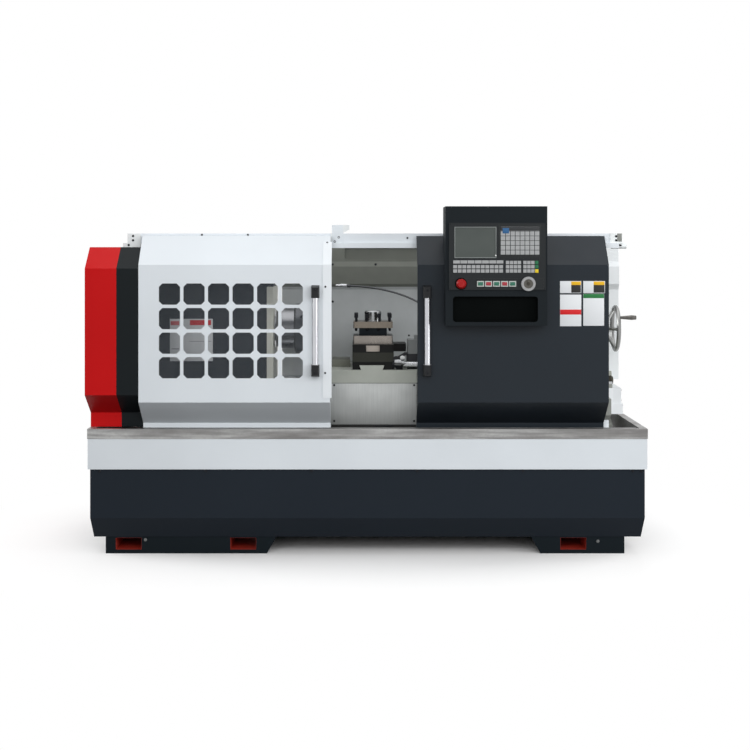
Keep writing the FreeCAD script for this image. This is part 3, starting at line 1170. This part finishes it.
def saddle():
    """H-shaped casting on the ways: dovetail for the cross slide, nut lug for the screw and motor seat."""
    x0, x1 = SADDLE_LEFT_X, SADDLE_RIGHT_X
    rail_end, rear_rail = BED_FRONT_Y + RAIL_WIDTH, BED_REAR_Y - RAIL_WIDTH
    lug_rear = BED_FRONT_Y - APRON_GAP
    seat_x1 = X_MOTOR_LEFT_X + X_MOTOR_SIZE + X_SEAT_MARGIN / 2
    rest_x1 = DOVETAIL_X - SLIDE_WIDTH / 2 - REST_GAP
    parts = [
        block(x0, x1, SADDLE_FRONT_Y, rail_end, WAY_Z, SADDLE_TOP_Z),
        block(CARRIAGE_X - BRIDGE_LENGTH / 2, CARRIAGE_X + BRIDGE_LENGTH / 2, rail_end, rear_rail,
              WAY_Z, SADDLE_TOP_Z),
        block(x0, x1, rear_rail, SADDLE_REAR_Y, WAY_Z, SADDLE_TOP_Z),
        dovetail(DOVETAIL_X, DOVETAIL_TOP_WIDTH / 2, DOVETAIL_FOOT_WIDTH / 2, SADDLE_TOP_Z,
                 SADDLE_TOP_Z + DOVETAIL_HEIGHT, SADDLE_FRONT_Y, SADDLE_REAR_Y),
        block(x0 + REST_INSET, rest_x1, rear_rail + REST_OVERLAP - REST_DEPTH, rear_rail + REST_OVERLAP,
              SADDLE_TOP_Z, SADDLE_TOP_Z + REST_HEIGHT),
        block(X_MOTOR_LEFT_X - X_SEAT_MARGIN, seat_x1, X_MOTOR_FRONT_Y - X_SEAT_MARGIN / 2,
              X_MOTOR_FRONT_Y + X_MOTOR_LENGTH, WAY_Z, X_MOTOR_BOTTOM_Z),
        block(CARRIAGE_X - NUT_LUG_WIDTH / 2, CARRIAGE_X + NUT_LUG_WIDTH / 2, SCREW_Y - NUT_LUG_HALF_DEPTH,
              lug_rear, SCREW_Z - NUT_LUG_DROP, WAY_Z),
    ]
    groove_y, groove_half = BED_FRONT_Y + INNER_VEE_OFFSET, VEE_HALF_WIDTH + VEE_SIDE_GAP
    grooves = [
        prism_x(vee(BED_FRONT_Y + OUTER_VEE_OFFSET, RUN_GAP), x0, seat_x1),
        block(x0, seat_x1, groove_y - groove_half, groove_y + groove_half, BED_TOP_Z,
              BED_TOP_Z + VEE_HEIGHT + VEE_SIDE_GAP),
        rod(SCREW_RADIUS + RUN_GAP, V(x0, SCREW_Y, SCREW_Z), V(x1, SCREW_Y, SCREW_Z)),
    ]
    return fuse(parts).cut(grooves)


def apron_cover():
    """Folded plate in front of the screw, hung under the saddle's front wing."""
    x0, x1 = SADDLE_LEFT_X, SADDLE_RIGHT_X
    y0, y1 = SADDLE_FRONT_Y, BED_FRONT_Y - APRON_GAP
    z0 = WAY_Z - APRON_DROP
    shell = block(x0, x1, y0, y1, z0, WAY_Z)
    inside = block(x0 + SHEET, x1 - SHEET, y0 + SHEET, y1, z0, WAY_Z)
    way = rod(2 * SCREW_RADIUS, V(x0, SCREW_Y, SCREW_Z), V(x1, SCREW_Y, SCREW_Z))
    return shell.cut([inside, way])


def x_servo_motor():
    """Cross feed motor on its seat at the saddle's tailstock side."""
    x0, y0, z1 = X_MOTOR_LEFT_X, X_MOTOR_FRONT_Y, X_MOTOR_BOTTOM_Z + X_MOTOR_HEIGHT
    body = block(x0, x0 + X_MOTOR_SIZE, y0, y0 + X_MOTOR_LENGTH, X_MOTOR_BOTTOM_Z, z1)
    width, depth, height = X_PLUG_SIZE
    plug_x, plug_y = x0 + X_PLUG_PLACE[0], y0 + X_PLUG_PLACE[1]
    plug = block(plug_x, plug_x + width, plug_y, plug_y + depth, z1, z1 + height)
    return fuse([body, plug])


def cross_slide():
    """Slide block with its dovetail groove, broad top band and side cover."""
    x0, x1 = CARRIAGE_X - SLIDE_WIDTH / 2, CARRIAGE_X + SLIDE_WIDTH / 2
    y0, y1 = SLIDE_FRONT_Y, SLIDE_FRONT_Y + SLIDE_LENGTH
    z0 = SADDLE_TOP_Z + RUN_GAP
    band_z = SLIDE_TOP_Z - SLIDE_BAND
    parts = [
        block(x0, x1, y0, y1, z0, SLIDE_TOP_Z),
        block(x0, x1 + SLIDE_WING, TURRET_Y - SLIDE_WING_FRONT, TURRET_Y + SLIDE_WING_REAR,
              band_z, SLIDE_TOP_Z),
    ]
    groove = dovetail(DOVETAIL_X, DOVETAIL_TOP_WIDTH / 2 + RUN_GAP, DOVETAIL_FOOT_WIDTH / 2 + RUN_GAP,
                      SADDLE_TOP_Z, SADDLE_TOP_Z + DOVETAIL_HEIGHT + RUN_GAP, y0, y1)
    return fuse(parts).cut(groove)


def tool_turret():
    """Square tool post: slotted head on a core, under a domed cap."""
    half = TURRET_SIZE / 2
    z0 = SLIDE_TOP_Z + RUN_GAP
    z1 = z0 + TURRET_LOWER
    z2 = z1 + TURRET_SLOT
    z3 = z2 + TURRET_UPPER
    x0, x1, y0, y1 = CARRIAGE_X - half, CARRIAGE_X + half, TURRET_Y - half, TURRET_Y + half
    lower = rounded_block(x0, x1, y0, y1, z0, z1, TURRET_CORNER, ALONG_Z)
    upper = rounded_block(x0, x1, y0, y1, z2, z3, TURRET_CORNER, ALONG_Z)
    core = block(CARRIAGE_X - TURRET_CORE, CARRIAGE_X + TURRET_CORE, TURRET_Y - TURRET_CORE,
                 TURRET_Y + TURRET_CORE, z1, z2)
    foot, crown = V(CARRIAGE_X, TURRET_Y, z3), V(CARRIAGE_X, TURRET_Y, z3 + CAP_HEIGHT)
    bend = crown - V(0, 0, CAP_CONE_HEIGHT)
    cap = [rod(CAP_RADIUS, foot, bend), cone(CAP_RADIUS, CAP_RADIUS - CAP_CONE_RUN, bend, crown)]
    return fuse([lower, core, upper] + cap)


def clamp_bolt_places():
    """Bolts in a row along each side of the turret."""
    half = TURRET_SIZE / 2 - CLAMP_BOLT_EDGE
    steps = (-half, -half / 2.6, half / 2.6, half)
    places = [(u, -half) for u in steps] + [(u, half) for u in steps]
    return places + [(-half, u) for u in steps[1:3]] + [(half, u) for u in steps[1:3]]


def clamp_bolts():
    """Square-headed bolts that press the tools down through the turret's upper plate."""
    bolts = []
    for u, w in clamp_bolt_places():
        x, y, top = CARRIAGE_X + u, TURRET_Y + w, TURRET_TOP_Z + CLAMP_BOLT_RISE
        half = CLAMP_BOLT_HEAD_WIDTH / 2
        stem = rod(CLAMP_BOLT_STEM, V(x, y, TURRET_TOP_Z), V(x, y, top - CLAMP_BOLT_HEAD / 2))
        head = block(x - half, x + half, y - half, y + half, top - CLAMP_BOLT_HEAD, top)
        bolts.append(fuse([stem, head]))
    return Part.makeCompound(bolts)


def coolant_gooseneck():
    """Valve block, bright pipe and the self-holding hose with its nozzle."""
    x0, x1 = PIPE_LEFT_X, PIPE_LEFT_X + PIPE_LENGTH
    pipe_end = V(x1, PIPE_Y, PIPE_Z)
    valve = block(x0 - VALVE_OVERLAP, x0 - VALVE_OVERLAP + VALVE_WIDTH, PIPE_Y - VALVE_DEPTH / 2,
                  PIPE_Y + VALVE_DEPTH / 2, SADDLE_TOP_Z, PIPE_Z + PIPE_RADIUS + VALVE_RISE)
    tap_foot = V(x0 - VALVE_OVERLAP + VALVE_WIDTH / 2, PIPE_Y, PIPE_Z)
    tap = rod(TAP_RADIUS, tap_foot, tap_foot + V(0, 0, TAP_HEIGHT))
    pipe = rod(PIPE_RADIUS, V(x0, PIPE_Y, PIPE_Z), pipe_end)
    points = [pipe_end + V(*step) for step in HOSE_STEPS]
    hose = round_route(points, HOSE_RADIUS)
    end = points[-1]
    ahead = (end - points[-2]).normalize()
    shoulder = end + ahead * (NOZZLE_LENGTH - NOZZLE_OVERLAP)
    sleeve = rod(NOZZLE_RADIUS, end - ahead * NOZZLE_OVERLAP, shoulder)
    tip = taper(NOZZLE_RADIUS - 1, NOZZLE_RADIUS / 2, shoulder, shoulder + ahead * NOZZLE_TIP)
    return fuse([valve, tap, pipe, hose, sleeve, tip])


# ---- tailstock ----
def tailstock_body():
    """Casting on the inner vee: broad base, waisted column, barrel for the quill and a rear clamp stud."""
    x0, x1 = TAIL_LEFT_X, TAIL_RIGHT_X
    base_top = WAY_Z + TAIL_BASE_HEIGHT
    half = TAIL_WIDTH / 2
    base = block(x0 + TAIL_BASE_INSET, x1, BED_FRONT_Y + TAIL_BASE_FRONT, BED_REAR_Y - TAIL_BASE_REAR,
                 WAY_Z, base_top)
    waist, waist_z = BARREL_RADIUS * TAIL_WAIST, base_top + TAIL_WAIST_LIFT
    column = prism_x([
        (SPINDLE_Y - half, base_top), (SPINDLE_Y + half, base_top), (SPINDLE_Y + waist, waist_z),
        (SPINDLE_Y + BARREL_RADIUS, SPINDLE_Z), (SPINDLE_Y - BARREL_RADIUS, SPINDLE_Z),
        (SPINDLE_Y - waist, waist_z),
    ], x0 + TAIL_COLUMN_INSET, x1 - TAIL_COLUMN_INSET / 3)
    barrel = rod(BARREL_RADIUS, V(x0, SPINDLE_Y, SPINDLE_Z), V(x1, SPINDLE_Y, SPINDLE_Z))
    stud_end = V(x1 + TAIL_STUD_REACH, BED_FRONT_Y + (OUTER_VEE_OFFSET + INNER_VEE_OFFSET) / 2,
                 WAY_Z + TAIL_STUD_LIFT)
    stud = rod(TAIL_STUD_RADIUS, stud_end - V(TAIL_STUD_REACH + QUILL_END_GAP, 0, 0), stud_end)
    boss = rod(LEVER_BOSS_RADIUS, V(LEVER_X, SPINDLE_Y, SPINDLE_Z), V(LEVER_X, SPINDLE_Y, LEVER_Z))
    groove = prism_x(vee(BED_FRONT_Y + INNER_VEE_OFFSET, RUN_GAP), x0, x1)
    bore = rod(QUILL_RADIUS + SHAFT_GAP, V(x0, SPINDLE_Y, SPINDLE_Z), V(x1 - HEAD_WALL, SPINDLE_Y, SPINDLE_Z))
    shaft_way = rod(FEED_RADIUS + SHAFT_GAP, V(x0, SPINDLE_Y, SPINDLE_Z), V(x1, SPINDLE_Y, SPINDLE_Z))
    return fuse([base, column, barrel, stud, boss]).cut([groove, bore, shaft_way])


def quill():
    """Sliding barrel, hollow behind for the screw."""
    a = V(TAIL_LEFT_X - QUILL_REACH, SPINDLE_Y, SPINDLE_Z)
    b = V(TAIL_RIGHT_X - HEAD_WALL - QUILL_END_GAP, SPINDLE_Y, SPINDLE_Z)
    body = rod(QUILL_RADIUS, a, b)
    socket = rod(CENTRE_RADIUS, a, a + V(CENTRE_LENGTH / 2, 0, 0))
    screw_way = rod(FEED_RADIUS + FEED_SIDE_GAP, a + V(CENTRE_LENGTH, 0, 0), b)
    return body.cut([socket, screw_way])


def tail_centre():
    """Pointed centre seated in the quill's nose."""
    a = V(TAIL_LEFT_X - QUILL_REACH, SPINDLE_Y, SPINDLE_Z)
    neck = a - V(CENTRE_SHANK, 0, 0)
    shank = rod(CENTRE_RADIUS, neck, a + V(CENTRE_LENGTH / 2, 0, 0))
    point = taper(CENTRE_RADIUS - CENTRE_SHOULDER, CENTRE_TIP, neck, a - V(CENTRE_LENGTH, 0, 0))
    return fuse([shank, point])


def tailstock_wheel():
    """Dished handwheel with its screw shaft, hub and spokes."""
    hub_x = TAIL_RIGHT_X + RUN_GAP
    axis = V(0, SPINDLE_Y, SPINDLE_Z)
    ring_radius = WHEEL_RADIUS - WHEEL_RIM
    section = []
    for i in range(RIM_SIDES):
        angle = 2 * math.pi * (i + 0.5) / RIM_SIDES
        section.append((WHEEL_X + WHEEL_RIM * math.cos(angle), ring_radius + WHEEL_RIM * math.sin(angle)))
    rim = turned(section, SPINDLE_Y, SPINDLE_Z)
    hub = rod(HUB_RADIUS, V(hub_x, SPINDLE_Y, SPINDLE_Z), V(hub_x + HUB_LENGTH, SPINDLE_Y, SPINDLE_Z))
    shaft = rod(FEED_RADIUS, V(TAIL_RIGHT_X - FEED_LENGTH, SPINDLE_Y, SPINDLE_Z),
                V(hub_x + 1, SPINDLE_Y, SPINDLE_Z))
    spoke = rod(SPOKE_RADIUS, V(hub_x + HUB_LENGTH / 2, SPINDLE_Y, SPINDLE_Z + HUB_RADIUS - SPOKE_RADIUS),
                V(WHEEL_X, SPINDLE_Y, SPINDLE_Z + ring_radius))
    spokes = [spoke.rotated(axis, ALONG_X, 360 / WHEEL_SPOKES * i + SPOKE_ANGLE) for i in range(WHEEL_SPOKES)]
    pin = rod(GRIP_PIN, *grip_line(WHEEL_X, GRIP_END_X - GRIP_CAP))
    return fuse([rim, hub, shaft, pin] + spokes)


def grip_line(x0, x1):
    """Two points on the grip's axis, on the rim's front upper quarter."""
    radius = WHEEL_RADIUS - WHEEL_RIM
    angle = math.radians(GRIP_ANGLE)
    y, z = SPINDLE_Y - radius * math.cos(angle), SPINDLE_Z + radius * math.sin(angle)
    return V(x0, y, z), V(x1, y, z)


def wheel_grip():
    """Tapered grip that turns on the rim's pin."""
    x0 = WHEEL_X + WHEEL_RIM
    a, b = grip_line(x0 + RUN_GAP, GRIP_END_X)
    waist = a + (b - a) * 0.7
    body = fuse([taper(GRIP_ROOT, GRIP_END, a, waist), taper(GRIP_END, GRIP_END - 2, waist, b)])
    return body.cut(rod(GRIP_PIN + SHAFT_GAP, *grip_line(x0, GRIP_END_X - GRIP_CAP + RUN_GAP)))


def quill_clamp_lever():
    """Lever on top of the barrel that locks the quill."""
    foot = V(LEVER_X, SPINDLE_Y, LEVER_Z + RUN_GAP)
    tilt = math.radians(LEVER_TILT)
    ahead = V(math.sin(tilt), 0, math.cos(tilt))
    hub = rod(LEVER_HUB_RADIUS, foot, foot + V(0, 0, LEVER_HUB_HEIGHT))
    start = foot + V(0, 0, LEVER_HUB_HEIGHT / 2)
    knob_start = start + ahead * (LEVER_LENGTH - LEVER_KNOB_LENGTH)
    bar = taper(LEVER_ROOT, LEVER_END, start, knob_start + ahead * LEVER_ROOT)
    knob = taper(LEVER_END + 1, LEVER_KNOB, knob_start, start + ahead * LEVER_LENGTH)
    return fuse([hub, bar, knob])


# ---- controls ----
def box_outline(shrink):
    """Section of the control box, shrunk by its wall. It follows the door's sloping top behind."""
    slope = (DOOR_TOP_Z - DOOR_UPPER_BEND_Z) / (DOOR_EDGE_Y - DOOR_FRONT_Y)
    back = DOOR_FRONT_Y + BOX_BACK_REACH - shrink
    front, low, high = BOX_FRONT_Y + shrink, BOX_BOTTOM_Z + shrink, BOX_BOTTOM_Z + BOX_HEIGHT - shrink
    bend = DOOR_FRONT_Y - shrink
    lean = shrink * (math.hypot(1, slope) - slope)
    return [(front, low), (front, high), (back, high),
            (back, DOOR_UPPER_BEND_Z + (back - DOOR_FRONT_Y) * slope + shrink * math.hypot(1, slope)),
            (bend, DOOR_UPPER_BEND_Z + lean), (bend, low)]


def control_box():
    """Folded housing with the window that the panel covers and a rounded recess below it."""
    x0, x1 = BOX_LEFT_X, BOX_LEFT_X + BOX_WIDTH
    front = BOX_FRONT_Y
    shell = prism_x(box_outline(0), x0, x1).cut(prism_x(box_outline(SHEET), x0 + SHEET, x1 - SHEET))
    lap = PANEL_LAP
    window = block(PANEL_LEFT_X + lap, PANEL_LEFT_X + PANEL_WIDTH - lap, front, front + SHEET,
                   PANEL_BOTTOM_Z + lap, PANEL_BOTTOM_Z + PANEL_HEIGHT - lap)
    pocket = rounded_block(SLOT_X - SHEET, SLOT_X + SLOT_WIDTH + SHEET, front, front + SLOT_DEPTH,
                           SLOT_Z - SHEET, SLOT_Z + SLOT_HEIGHT + SHEET, SLOT_CORNER + SHEET, ALONG_Y)
    hollow = rounded_block(SLOT_X, SLOT_X + SLOT_WIDTH, front, front + SLOT_DEPTH - SHEET,
                           SLOT_Z, SLOT_Z + SLOT_HEIGHT, SLOT_CORNER, ALONG_Y)
    return fuse([shell, pocket]).cut([window, hollow])


def key_blocks():
    """Every field of keys: its corner on the panel, key size, columns, rows and pitches."""
    return (
        (232.0, 159.0, 21.0, 19.0, 8, 6, 21.7, 21.2),
        (19.0, 119.0, 30.0, 14.0, 7, 1, 32.4, 0.0),
        (19.0, 78.0, 17.0, 15.0, 11, 2, 20.6, 19.0),
        (255.0, 78.0, 15.0, 15.0, 4, 3, 17.6, 19.0),
        (333.0, 78.0, 15.0, 15.0, 4, 3, 17.6, 19.0),
    )


def button_x(index):
    return BUTTON_FIRST_X + index * BUTTON_PITCH


def cnc_panel():
    """Control panel: plate with the screen recess, raised keys and holes for the controls."""
    x0, x1, y0, y1 = PANEL_LEFT_X, PANEL_LEFT_X + PANEL_WIDTH, PANEL_FRONT_Y, BOX_FRONT_Y
    plate = block(x0, x1, y0, y1, PANEL_BOTTOM_Z, PANEL_BOTTOM_Z + PANEL_HEIGHT)
    cuts = [block(SCREEN_X, SCREEN_X + SCREEN_WIDTH, y0, y0 + SCREEN_RECESS,
                  SCREEN_Z, SCREEN_Z + SCREEN_HEIGHT)]
    for i in range(BUTTON_COUNT):
        half_w, half_h = BUTTON_WIDTH / 2 + RUN_GAP, BUTTON_HEIGHT / 2 + RUN_GAP
        cuts.append(block(button_x(i) - half_w, button_x(i) + half_w, y0, y1,
                          CONTROL_Z - half_h, CONTROL_Z + half_h))
    for x, radius in ((STOP_X, STOP_STEM), (DIAL_X, DIAL_SHAFT)):
        cuts.append(rod(radius + RUN_GAP, V(x, y0, CONTROL_Z), V(x, y1, CONTROL_Z)))
    keys = []
    for x, z, width, height, columns, rows, pitch_x, pitch_z in key_blocks():
        for column in range(columns):
            for row in range(rows):
                kx, kz = x0 + x + column * pitch_x, PANEL_BOTTOM_Z + z + row * pitch_z
                keys.append(block(kx, kx + width, y0 - KEY_RISE, y0, kz, kz + height))
    return fuse([plate.cut(cuts)] + keys)


def display_screen():
    y1 = PANEL_FRONT_Y + SCREEN_RECESS
    return block(SCREEN_X, SCREEN_X + SCREEN_WIDTH, y1 - SCREEN_THICK, y1, SCREEN_Z, SCREEN_Z + SCREEN_HEIGHT)


def emergency_stop():
    """Mushroom button on its stem."""
    front, back = V(STOP_X, STOP_FRONT_Y, CONTROL_Z), V(STOP_X, BOX_FRONT_Y, CONTROL_Z)
    neck = front + V(0, STOP_HEAD, 0)
    brim = neck - V(0, STOP_HEAD * STOP_BRIM, 0)
    stem = rod(STOP_STEM, neck, back)
    skirt = taper(STOP_STEM + 3, STOP_RADIUS, neck, brim)
    head = taper(STOP_RADIUS, STOP_RADIUS - STOP_TAPER, brim, front)
    return fuse([stem, skirt, head])


def push_button(index):
    x, half_w, half_h = button_x(index), BUTTON_WIDTH / 2, BUTTON_HEIGHT / 2
    return block(x - half_w, x + half_w, PANEL_FRONT_Y - BUTTON_RISE, BOX_FRONT_Y,
                 CONTROL_Z - half_h, CONTROL_Z + half_h)


def pulse_dial():
    """Handwheel dial: knurled rim, raised centre and its shaft."""
    foot = V(DIAL_X, PANEL_FRONT_Y - RUN_GAP, CONTROL_Z)
    face = foot - V(0, DIAL_RISE, 0)
    floor = face + V(0, DIAL_WELL, 0)
    rim = rod(DIAL_RADIUS, foot, face)
    well = rod(DIAL_RADIUS - DIAL_RIM, face, floor)
    beside = V(0, 0, DIAL_FINGER_OFFSET)
    finger = rod(DIAL_FINGER_RADIUS, floor + beside, face - V(0, DIAL_FINGER_RISE, 0) + beside)
    shaft = rod(DIAL_SHAFT, foot, V(DIAL_X, BOX_FRONT_Y, CONTROL_Z))
    return fuse([rim.cut(well), finger, shaft])


# ---- coolant ----
def coolant_tank():
    """Open sheet tank on the skirt's floor, between the pedestals."""
    x0, x1, y0, y1 = TANK_LEFT_X, TANK_RIGHT_X, TANK_FRONT_Y, TANK_REAR_Y
    z0 = FOOT_HEIGHT + SHEET
    tank = block(x0, x1, y0, y1, z0, z0 + TANK_HEIGHT)
    return tank.cut(block(x0 + SHEET, x1 - SHEET, y0 + SHEET, y1 - SHEET, z0 + SHEET, z0 + TANK_HEIGHT))


def coolant_pump():
    """Immersion pump hung from a plate across the tank's rear corner."""
    x, y, z = TANK_RIGHT_X - PUMP_INSET_X, TANK_REAR_Y - PUMP_INSET_Y, FOOT_HEIGHT + SHEET + TANK_HEIGHT
    plate = block(x - PUMP_PLATE_LEFT, TANK_RIGHT_X, y - PUMP_PLATE_FRONT, TANK_REAR_Y, z, z + PUMP_PLATE)
    motor = rod(PUMP_RADIUS, V(x, y, z), V(x, y, z + PUMP_HEIGHT))
    stem = rod(PUMP_STEM_RADIUS, V(x, y, z - PUMP_STEM_LENGTH), V(x, y, z + PUMP_PLATE))
    return fuse([plate, motor, stem])


# ---- electrical cabinet ----
def hinge_heights():
    return (CABINET_BOTTOM_Z + HINGE_INSET, CABINET_TOP_Z - HINGE_INSET)


def electrical_cabinet():
    """Sheet cabinet on a plinth, open to the back where its door closes it."""
    x0, x1, y0, y1 = CABINET_LEFT_X, CABINET_RIGHT_X, CABINET_FRONT_Y, CABINET_REAR_Y
    shell = block(x0, x1, y0, y1, CABINET_BOTTOM_Z, CABINET_TOP_Z)
    shell = shell.cut(block(x0 + SHEET, x1 - SHEET, y0 + SHEET, y1,
                            CABINET_BOTTOM_Z + SHEET, CABINET_TOP_Z - SHEET))
    inset = PLINTH_INSET
    plinth = ring(x0 + inset, x1 - inset, y0 + inset, y1 - inset, 0, CABINET_BOTTOM_Z, PLINTH_WALL)
    hx, hy = x1 + HINGE_RADIUS, y1 + HINGE_RADIUS
    parts = [shell, plinth]
    for z in hinge_heights():
        parts.append(rod(HINGE_RADIUS, V(hx, hy, z - HINGE_LENGTH), V(hx, hy, z - RUN_GAP)))
        parts.append(block(x1, x1 + SHEET, y1 - HINGE_LEAF, hy, z - HINGE_LENGTH, z - RUN_GAP))
    return fuse(parts)


def cabinet_door():
    """Folded door on two lift-off hinges."""
    x0, x1 = CABINET_LEFT_X, CABINET_RIGHT_X - CABINET_DOOR_GAP
    y0 = CABINET_REAR_Y + RUN_GAP
    y1 = y0 + CABINET_DOOR_DEPTH
    z0, z1 = CABINET_BOTTOM_Z, CABINET_TOP_Z
    panel = block(x0, x1, y0, y1, z0, z1).cut(
        block(x0 + SHEET, x1 - SHEET, y0, y1 - SHEET, z0 + SHEET, z1 - SHEET))
    hx, hy = CABINET_RIGHT_X + HINGE_RADIUS, CABINET_REAR_Y + HINGE_RADIUS
    parts = [panel]
    for z in hinge_heights():
        parts.append(rod(HINGE_RADIUS, V(hx, hy, z), V(hx, hy, z + HINGE_LENGTH)))
        parts.append(block(x1 - SHEET, hx, hy, hy + SHEET, z, z + HINGE_LENGTH))
    x, y, z = latch_place()
    return fuse(parts).cut(rod(HINGE_RADIUS + RUN_GAP, V(x, y0, z), V(x, y1, z)))


def latch_place():
    return CABINET_LEFT_X + LATCH_INSET, LATCH_FRONT_Y, (CABINET_BOTTOM_Z + CABINET_TOP_Z) / 2


def cabinet_latch():
    """Quarter-turn handle with its spindle."""
    x, y, z = latch_place()
    knob = rod(LATCH_RADIUS, V(x, y, z), V(x, LATCH_REAR_Y, z))
    half = LATCH_BAR_WIDTH / 2
    bar = block(x - half, x + half, y + LATCH_NECK, LATCH_REAR_Y, z - LATCH_BAR_DOWN, z + LATCH_BAR_UP)
    stem = rod(HINGE_RADIUS, V(x, y - CABINET_DOOR_DEPTH - RUN_GAP, z), V(x, y, z))
    return fuse([knob, bar, stem])


def drive_units():
    """Finned drive modules on the cabinet's front wall."""
    y0 = CABINET_FRONT_Y + SHEET
    pitch = CABINET_WIDTH / (DRIVE_COUNT + 1)
    z0 = (CABINET_BOTTOM_Z + CABINET_TOP_Z) / 2
    units = []
    for i in range(DRIVE_COUNT):
        x = CABINET_LEFT_X + (i + 1) * pitch
        body = block(x - DRIVE_WIDTH / 2, x + DRIVE_WIDTH / 2, y0, y0 + DRIVE_DEPTH, z0, z0 + DRIVE_HEIGHT)
        slots = []
        for k in range(DRIVE_SLOTS):
            slot_y = y0 + DRIVE_SLOT_FIRST + DRIVE_SLOT_PITCH * k
            slot_end = slot_y + DRIVE_SLOT_WIDTH
            slots.append(block(x - DRIVE_WIDTH / 2, x - DRIVE_WIDTH / 4, slot_y, slot_end,
                               z0, z0 + DRIVE_HEIGHT))
        units.append(body.cut(slots))
    return Part.makeCompound(units)


SUBPARTS = {
    "left_pedestal": left_pedestal, "right_pedestal": right_pedestal, "base_skirt": base_skirt,
    "base_band": base_band, "chip_tray": chip_tray, "lathe_bed": lathe_bed, "bed_end_cover": bed_end_cover,
    "red_end_cover": red_end_cover, "black_end_cover": black_end_cover, "door_beam": door_beam,
    "beam_brackets": beam_brackets, "rear_guard": rear_guard, "headstock_casing": headstock_casing,
    "headstock_cover": headstock_cover, "spindle_bearings": spindle_bearings, "main_motor": main_motor,
    "drive_belts": drive_belts, "z_servo_motor": z_servo_motor, "coolant_tank": coolant_tank,
    "coolant_pump": coolant_pump, "electrical_cabinet": electrical_cabinet, "drive_units": drive_units,
    "cabinet_door": cabinet_door, "cabinet_latch": cabinet_latch, "motor_pulley": motor_pulley,
    "z_ballscrew": z_ballscrew, "left_door": left_door, "window_pane": window_pane,
    "door_edge_strip": door_edge_strip, "left_handle": left_handle, "right_door": right_door,
    "right_handle": right_handle, "control_box": control_box, "cnc_panel": cnc_panel,
    "display_screen": display_screen, "emergency_stop": emergency_stop, "pulse_dial": pulse_dial,
    "saddle": saddle, "apron_cover": apron_cover, "x_servo_motor": x_servo_motor,
    "coolant_gooseneck": coolant_gooseneck, "cross_slide": cross_slide, "tool_turret": tool_turret,
    "clamp_bolts": clamp_bolts, "spindle": spindle, "chuck_body": chuck_body,
    "tailstock_body": tailstock_body, "quill": quill, "tail_centre": tail_centre,
    "tailstock_wheel": tailstock_wheel, "wheel_grip": wheel_grip, "quill_clamp_lever": quill_clamp_lever,
}
for number in range(1, BUTTON_COUNT + 1):
    SUBPARTS[f"button_{number}"] = lambda i=number - 1: push_button(i)
for number in range(1, JAW_COUNT + 1):
    SUBPARTS[f"chuck_jaw_{number}"] = lambda i=number - 1: chuck_jaw(i)

os.makedirs("parts", exist_ok=True)
for name, make in SUBPARTS.items():
    shape = make()
    shape.translate(V(-ORIGIN_X, -ORIGIN_Y, 0))
    shape.exportStep(os.path.join("parts", f"{name}.step"))
    litres = shape.Volume / 1e6
    print(f"{name}: solids {len(shape.Solids)}, valid {shape.isValid()}, volume {litres:.3f} l")
print(f"origin at x {ORIGIN_X:.2f}, y {ORIGIN_Y:.2f}; {len(SUBPARTS)} sub-parts")
